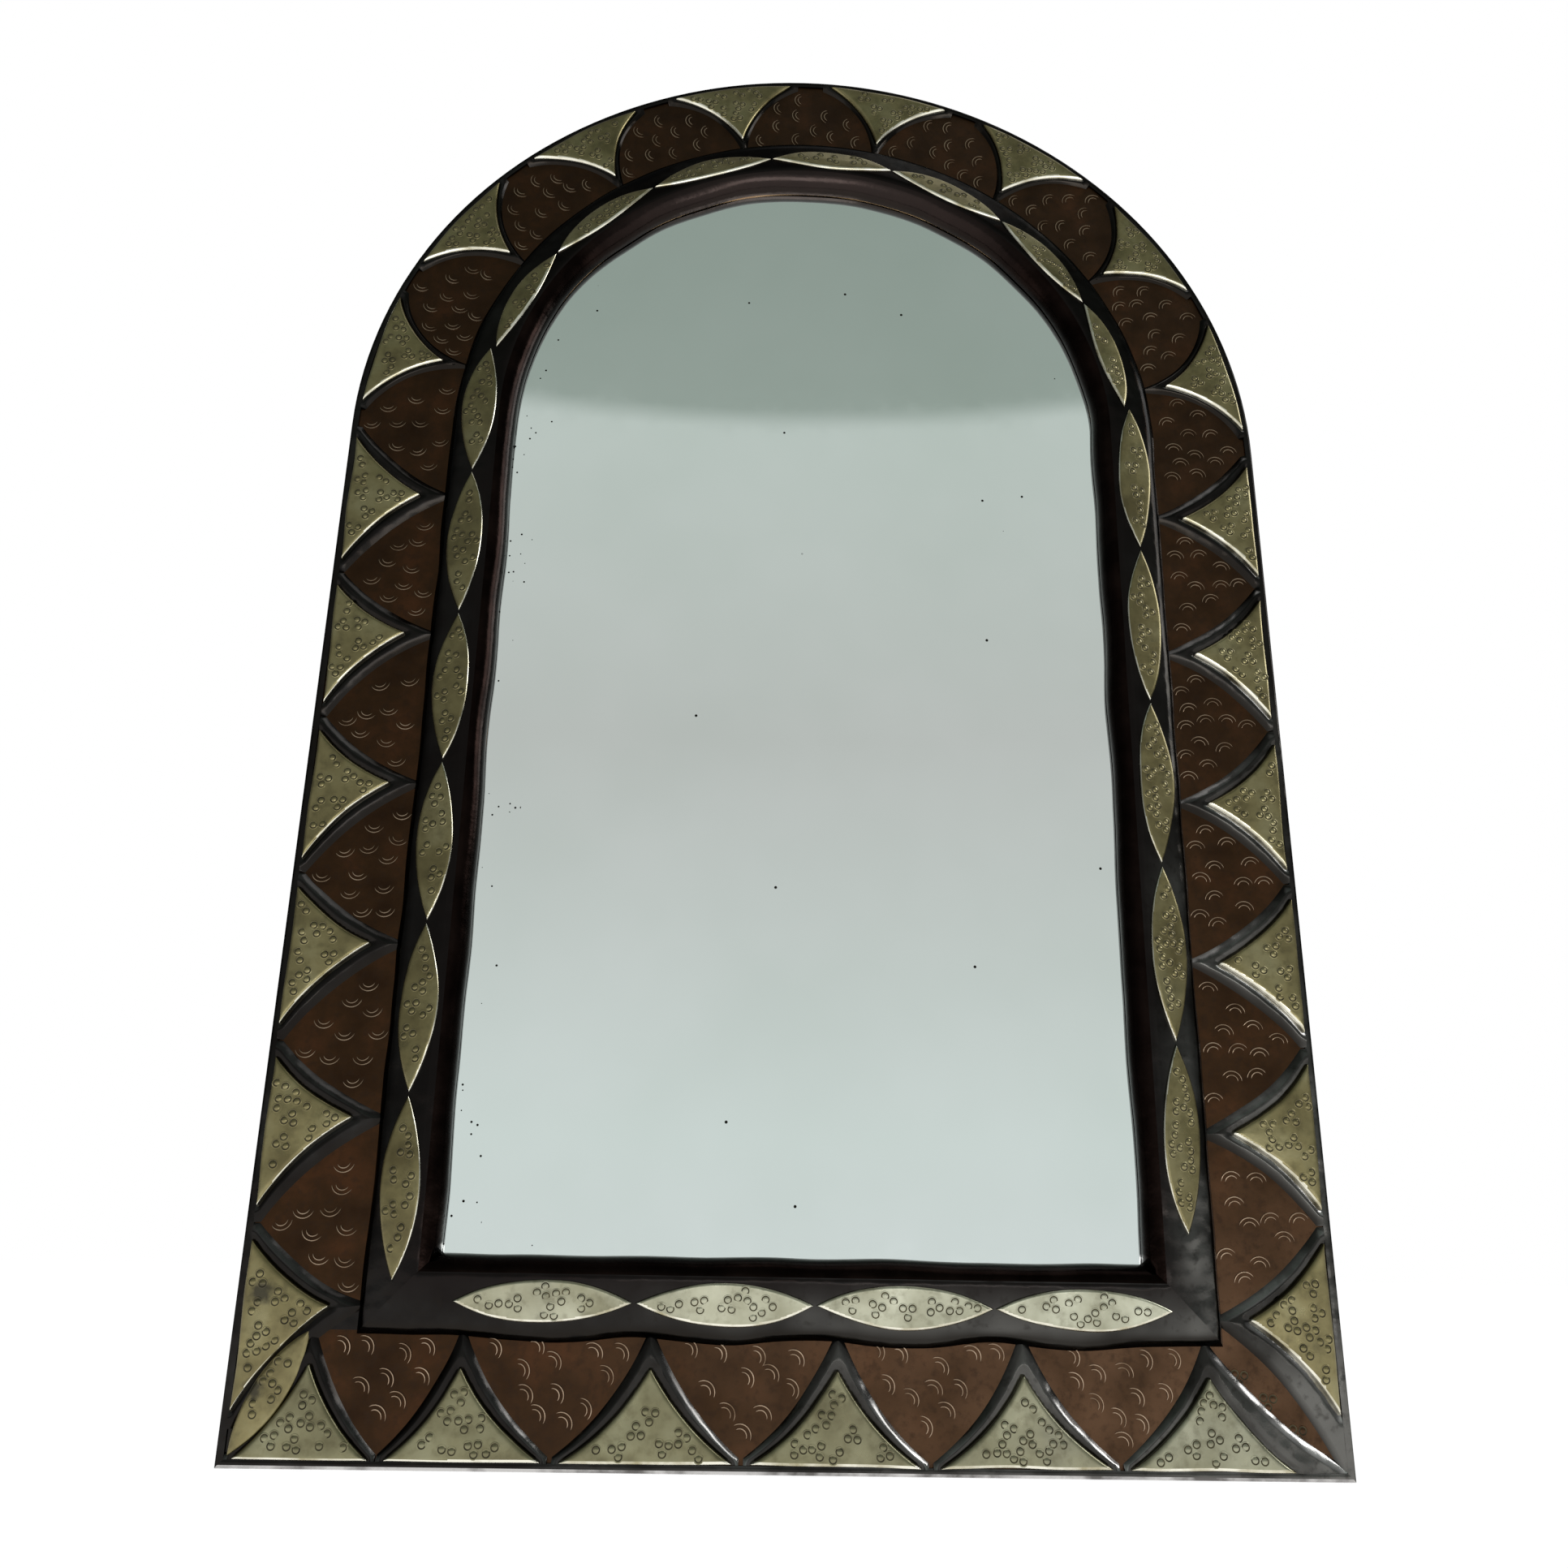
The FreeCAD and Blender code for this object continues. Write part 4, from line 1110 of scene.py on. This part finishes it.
def mirror_paint():
    """Silvered glass with a few dark specks and with finer ones along the left edge."""
    paint = Paint("aged_mirror")
    near, choice, width = paint.spots(0.0085)
    chosen = paint.remap(choice, 0.9, 0.905, 0, 1)
    speck = paint.times(paint.maths("LESS_THAN", near, paint.remap(width, 0, 1, 0.02, 0.075)), chosen)
    fine, fine_choice, _ = paint.spots(0.0022)
    left = paint.remap(paint.axis("X"), -0.126, -0.108, 1, 0)
    patchy = paint.remap(paint.noise(0.045, 3), 0.42, 0.62, 0, 0.55)
    few = paint.maths("LESS_THAN", fine_choice, paint.times(left, patchy))
    foxing = paint.times(paint.maths("LESS_THAN", fine, 0.2), few)
    marks = paint.maths("MAXIMUM", speck, foxing)
    tone = paint.ramp(paint.noise(0.09, 3), (0.35, (0.82, 0.87, 0.84)), (0.65, (0.87, 0.91, 0.89)))
    colour = paint.mix(marks, tone, (0.012, 0.012, 0.01))
    haze = paint.remap(paint.noise(0.012, 6), 0.35, 0.75, 0.02, 0.06)
    return paint.finish(colour, paint.maths("MAXIMUM", haze, paint.times(marks, 0.5)))


def wood_paint(name, turn):
    """Bare softwood with its grain along the X axis turned by an angle."""
    paint = Paint(name)
    grain = paint.noise(1, 6, 0.6, paint.stretched((0.07, 0.006, 0.006), turn))
    fibres = paint.noise(1, 3, 0.7, paint.stretched((0.016, 0.0007, 0.0007), turn))
    colour = paint.ramp(
        grain, (0.3, (0.155, 0.083, 0.036)), (0.5, (0.27, 0.155, 0.075)), (0.7, (0.37, 0.235, 0.125)))
    stain = paint.remap(paint.noise(0.05, 5), 0.3, 0.55, 0.45, 0)
    paint.bump(fibres, 0.0003, 0.6)
    rough = paint.remap(fibres, 0.3, 0.7, 0.62, 0.82)
    return paint.finish(paint.mix(stain, colour, (0.09, 0.055, 0.03)), rough, metallic=0)


def board_paint():
    paint = Paint("hardboard")
    speckle = paint.noise(0.0016, 5, 0.7)
    colour = paint.ramp(
        speckle, (0.3, (0.07, 0.04, 0.022)), (0.55, (0.13, 0.078, 0.042)), (0.75, (0.19, 0.12, 0.068)))
    stain = paint.remap(paint.noise(0.07, 5), 0.35, 0.6, 0.4, 0)
    paint.bump(speckle, 0.0002, 0.5)
    rough = paint.remap(speckle, 0.3, 0.7, 0.6, 0.85)
    return paint.finish(paint.mix(stain, colour, (0.06, 0.04, 0.026)), rough, metallic=0)


def steel_paint():
    paint = Paint("hanger_steel")
    colour = paint.ramp(paint.noise(0.004, 5), (0.3, (0.3, 0.29, 0.27)), (0.6, (0.48, 0.47, 0.45)))
    paint.bump(paint.noise(0.001, 3), 0.00004, 0.4)
    return paint.finish(colour, paint.uneven(0.002, 5, 0.25, 0.45))


def dress(material, *names):
    for name in names:
        nodes[name].data.materials.clear()
        nodes[name].data.materials.append(material)


# Floor, light and camera

def floor_paint():
    """White floor that keeps a faint shadow for the camera and shines in the metal."""
    material = bpy.data.materials.new("white_floor")
    tree = Tree(material)
    tree.nodes.clear()
    matt = tree.add("ShaderNodeBsdfDiffuse", {"Color": FLOOR_GREY}).outputs["BSDF"]
    plain = tree.add("ShaderNodeEmission", {"Strength": FLOOR_SEEN}).outputs["Emission"]
    bright = tree.add("ShaderNodeEmission", {"Strength": FLOOR_SHINE}).outputs["Emission"]
    tree.end("ShaderNodeOutputMaterial", bright, tree.blend(FLOOR_WHITE_SHARE, matt, plain))
    return material


def add_floor():
    build = bmesh.new()
    bmesh.ops.create_grid(build, x_segments=1, y_segments=1, size=FLOOR_HALF)
    mesh = bpy.data.meshes.new("floor")
    build.to_mesh(mesh)
    build.free()
    mesh.materials.append(floor_paint())
    floor = add_object("floor", mesh)
    floor.location = (0, 0, -ORIGIN_RISE * MM - FLOOR_GAP)


def add_world():
    """White to the camera; a grey room, darker overhead and at the sides, in all that mirrors."""
    world = bpy.data.worlds.new("room")
    bpy.context.scene.world = world
    tree = Tree(world)
    tree.nodes.clear()
    place = tree.add("ShaderNodeTexCoord").outputs["Generated"]
    axes = tree.add("ShaderNodeSeparateXYZ", {"Vector": place}).outputs
    fade = tree.remap(tree.maths("ABSOLUTE", axes["X"]), *ROOM_FADE)
    colours = {"Color": tree.ramp(axes["Z"], *ROOM_STOPS), "Strength": fade}
    room = tree.add("ShaderNodeBackground", colours).outputs["Background"]
    plain = tree.add("ShaderNodeBackground", {"Color": WHITE}).outputs["Background"]
    tree.end("ShaderNodeOutputWorld", room, plain)


def add_lamp(name, place, target, size, power):
    lamp = bpy.data.lights.new(name, "AREA")
    lamp.size = size
    lamp.energy = power
    holder = add_object(name, lamp)
    holder.location = place
    aim = Vector(target) - Vector(place)
    holder.rotation_euler = aim.to_track_quat("-Z", "Y").to_euler()
    holder.visible_camera = False


def add_camera():
    camera = bpy.data.cameras.new("camera")
    camera.lens = CAMERA_LENS
    holder = add_object("camera", camera)
    holder.location = CAMERA_PLACE
    holder.rotation_euler = tuple(math.radians(angle) for angle in CAMERA_ANGLES)
    bpy.context.scene.camera = holder


def build():
    """Dresses every piece of the mirror."""
    rng = random.Random(SCATTER_SEED)
    copper, worn_lit_copper, tin, grime = copper_paint(), worn_lit_copper_paint(), tin_paint(), grime_paint()
    tin_highlight = edge_highlight_paint("tin_highlight", (0.1, 0.095, 0.09), (0.42, 0.41, 0.4))
    brass_highlight = edge_highlight_paint("brass_highlight", (0.3, 0.27, 0.17), (0.66, 0.64, 0.54))
    brass = brass_paint("aged_brass", OLIVE_STOPS, 0, 0)
    shaded_deep_brass = brass_paint("shaded_deep_brass", SHADED_STOPS, 0, 0)
    lit_pale_brass = brass_paint("lit_pale_brass", LIT_GREY_STOPS, -0.55, 0.55)
    lit_bright_brass = brass_paint("lit_bright_brass", OLIVE_STOPS, 0.55, 1)
    # The bottom's brass is a lit copy, paler and greyer, and the side lenses' brass a shaded copy, darker
    # than the plates: painted light and painted shade
    metals = {"side": (brass, shaded_deep_brass), "arch": (brass, brass), "bottom": (lit_pale_brass, lit_bright_brass)}
    for group, (plate, lens) in metals.items():
        tin_piece(group, tin)
        brass_piece(group, [plate, brass_highlight], grime, rng)
        lens_piece(group, [lens, brass_highlight], grime, rng)
    leaf_piece(brass, grime, rng)
    for row in ("left", "arch", "right", "bottom"):
        crescent_piece(row, worn_lit_copper, rng)
    corner_rings(copper, grime)
    cover_pieces(tin, lip_paint(), tin_highlight)
    edge_pieces(tin, tin_highlight)
    dress(copper, *[name for name in nodes if "_scale_" in name], "right_corner_plate")
    dress(tin, "left_corner_plate", "brads")
    dress(mirror_paint(), "mirror_glass")
    dress(board_paint(), "back_board")
    dress(steel_paint(), "hanger_strap", "hanger_ring", "hanger_screws", "board_pins")
    for name, (turn, *pieces) in WOODS.items():
        dress(wood_paint(f"wood_{name}", turn), *pieces)


build()
add_floor()
add_world()
for lamp_name, lamp in LAMPS.items():
    add_lamp(lamp_name, *lamp)
add_camera()
bpy.context.scene.view_settings.view_transform = "Standard"
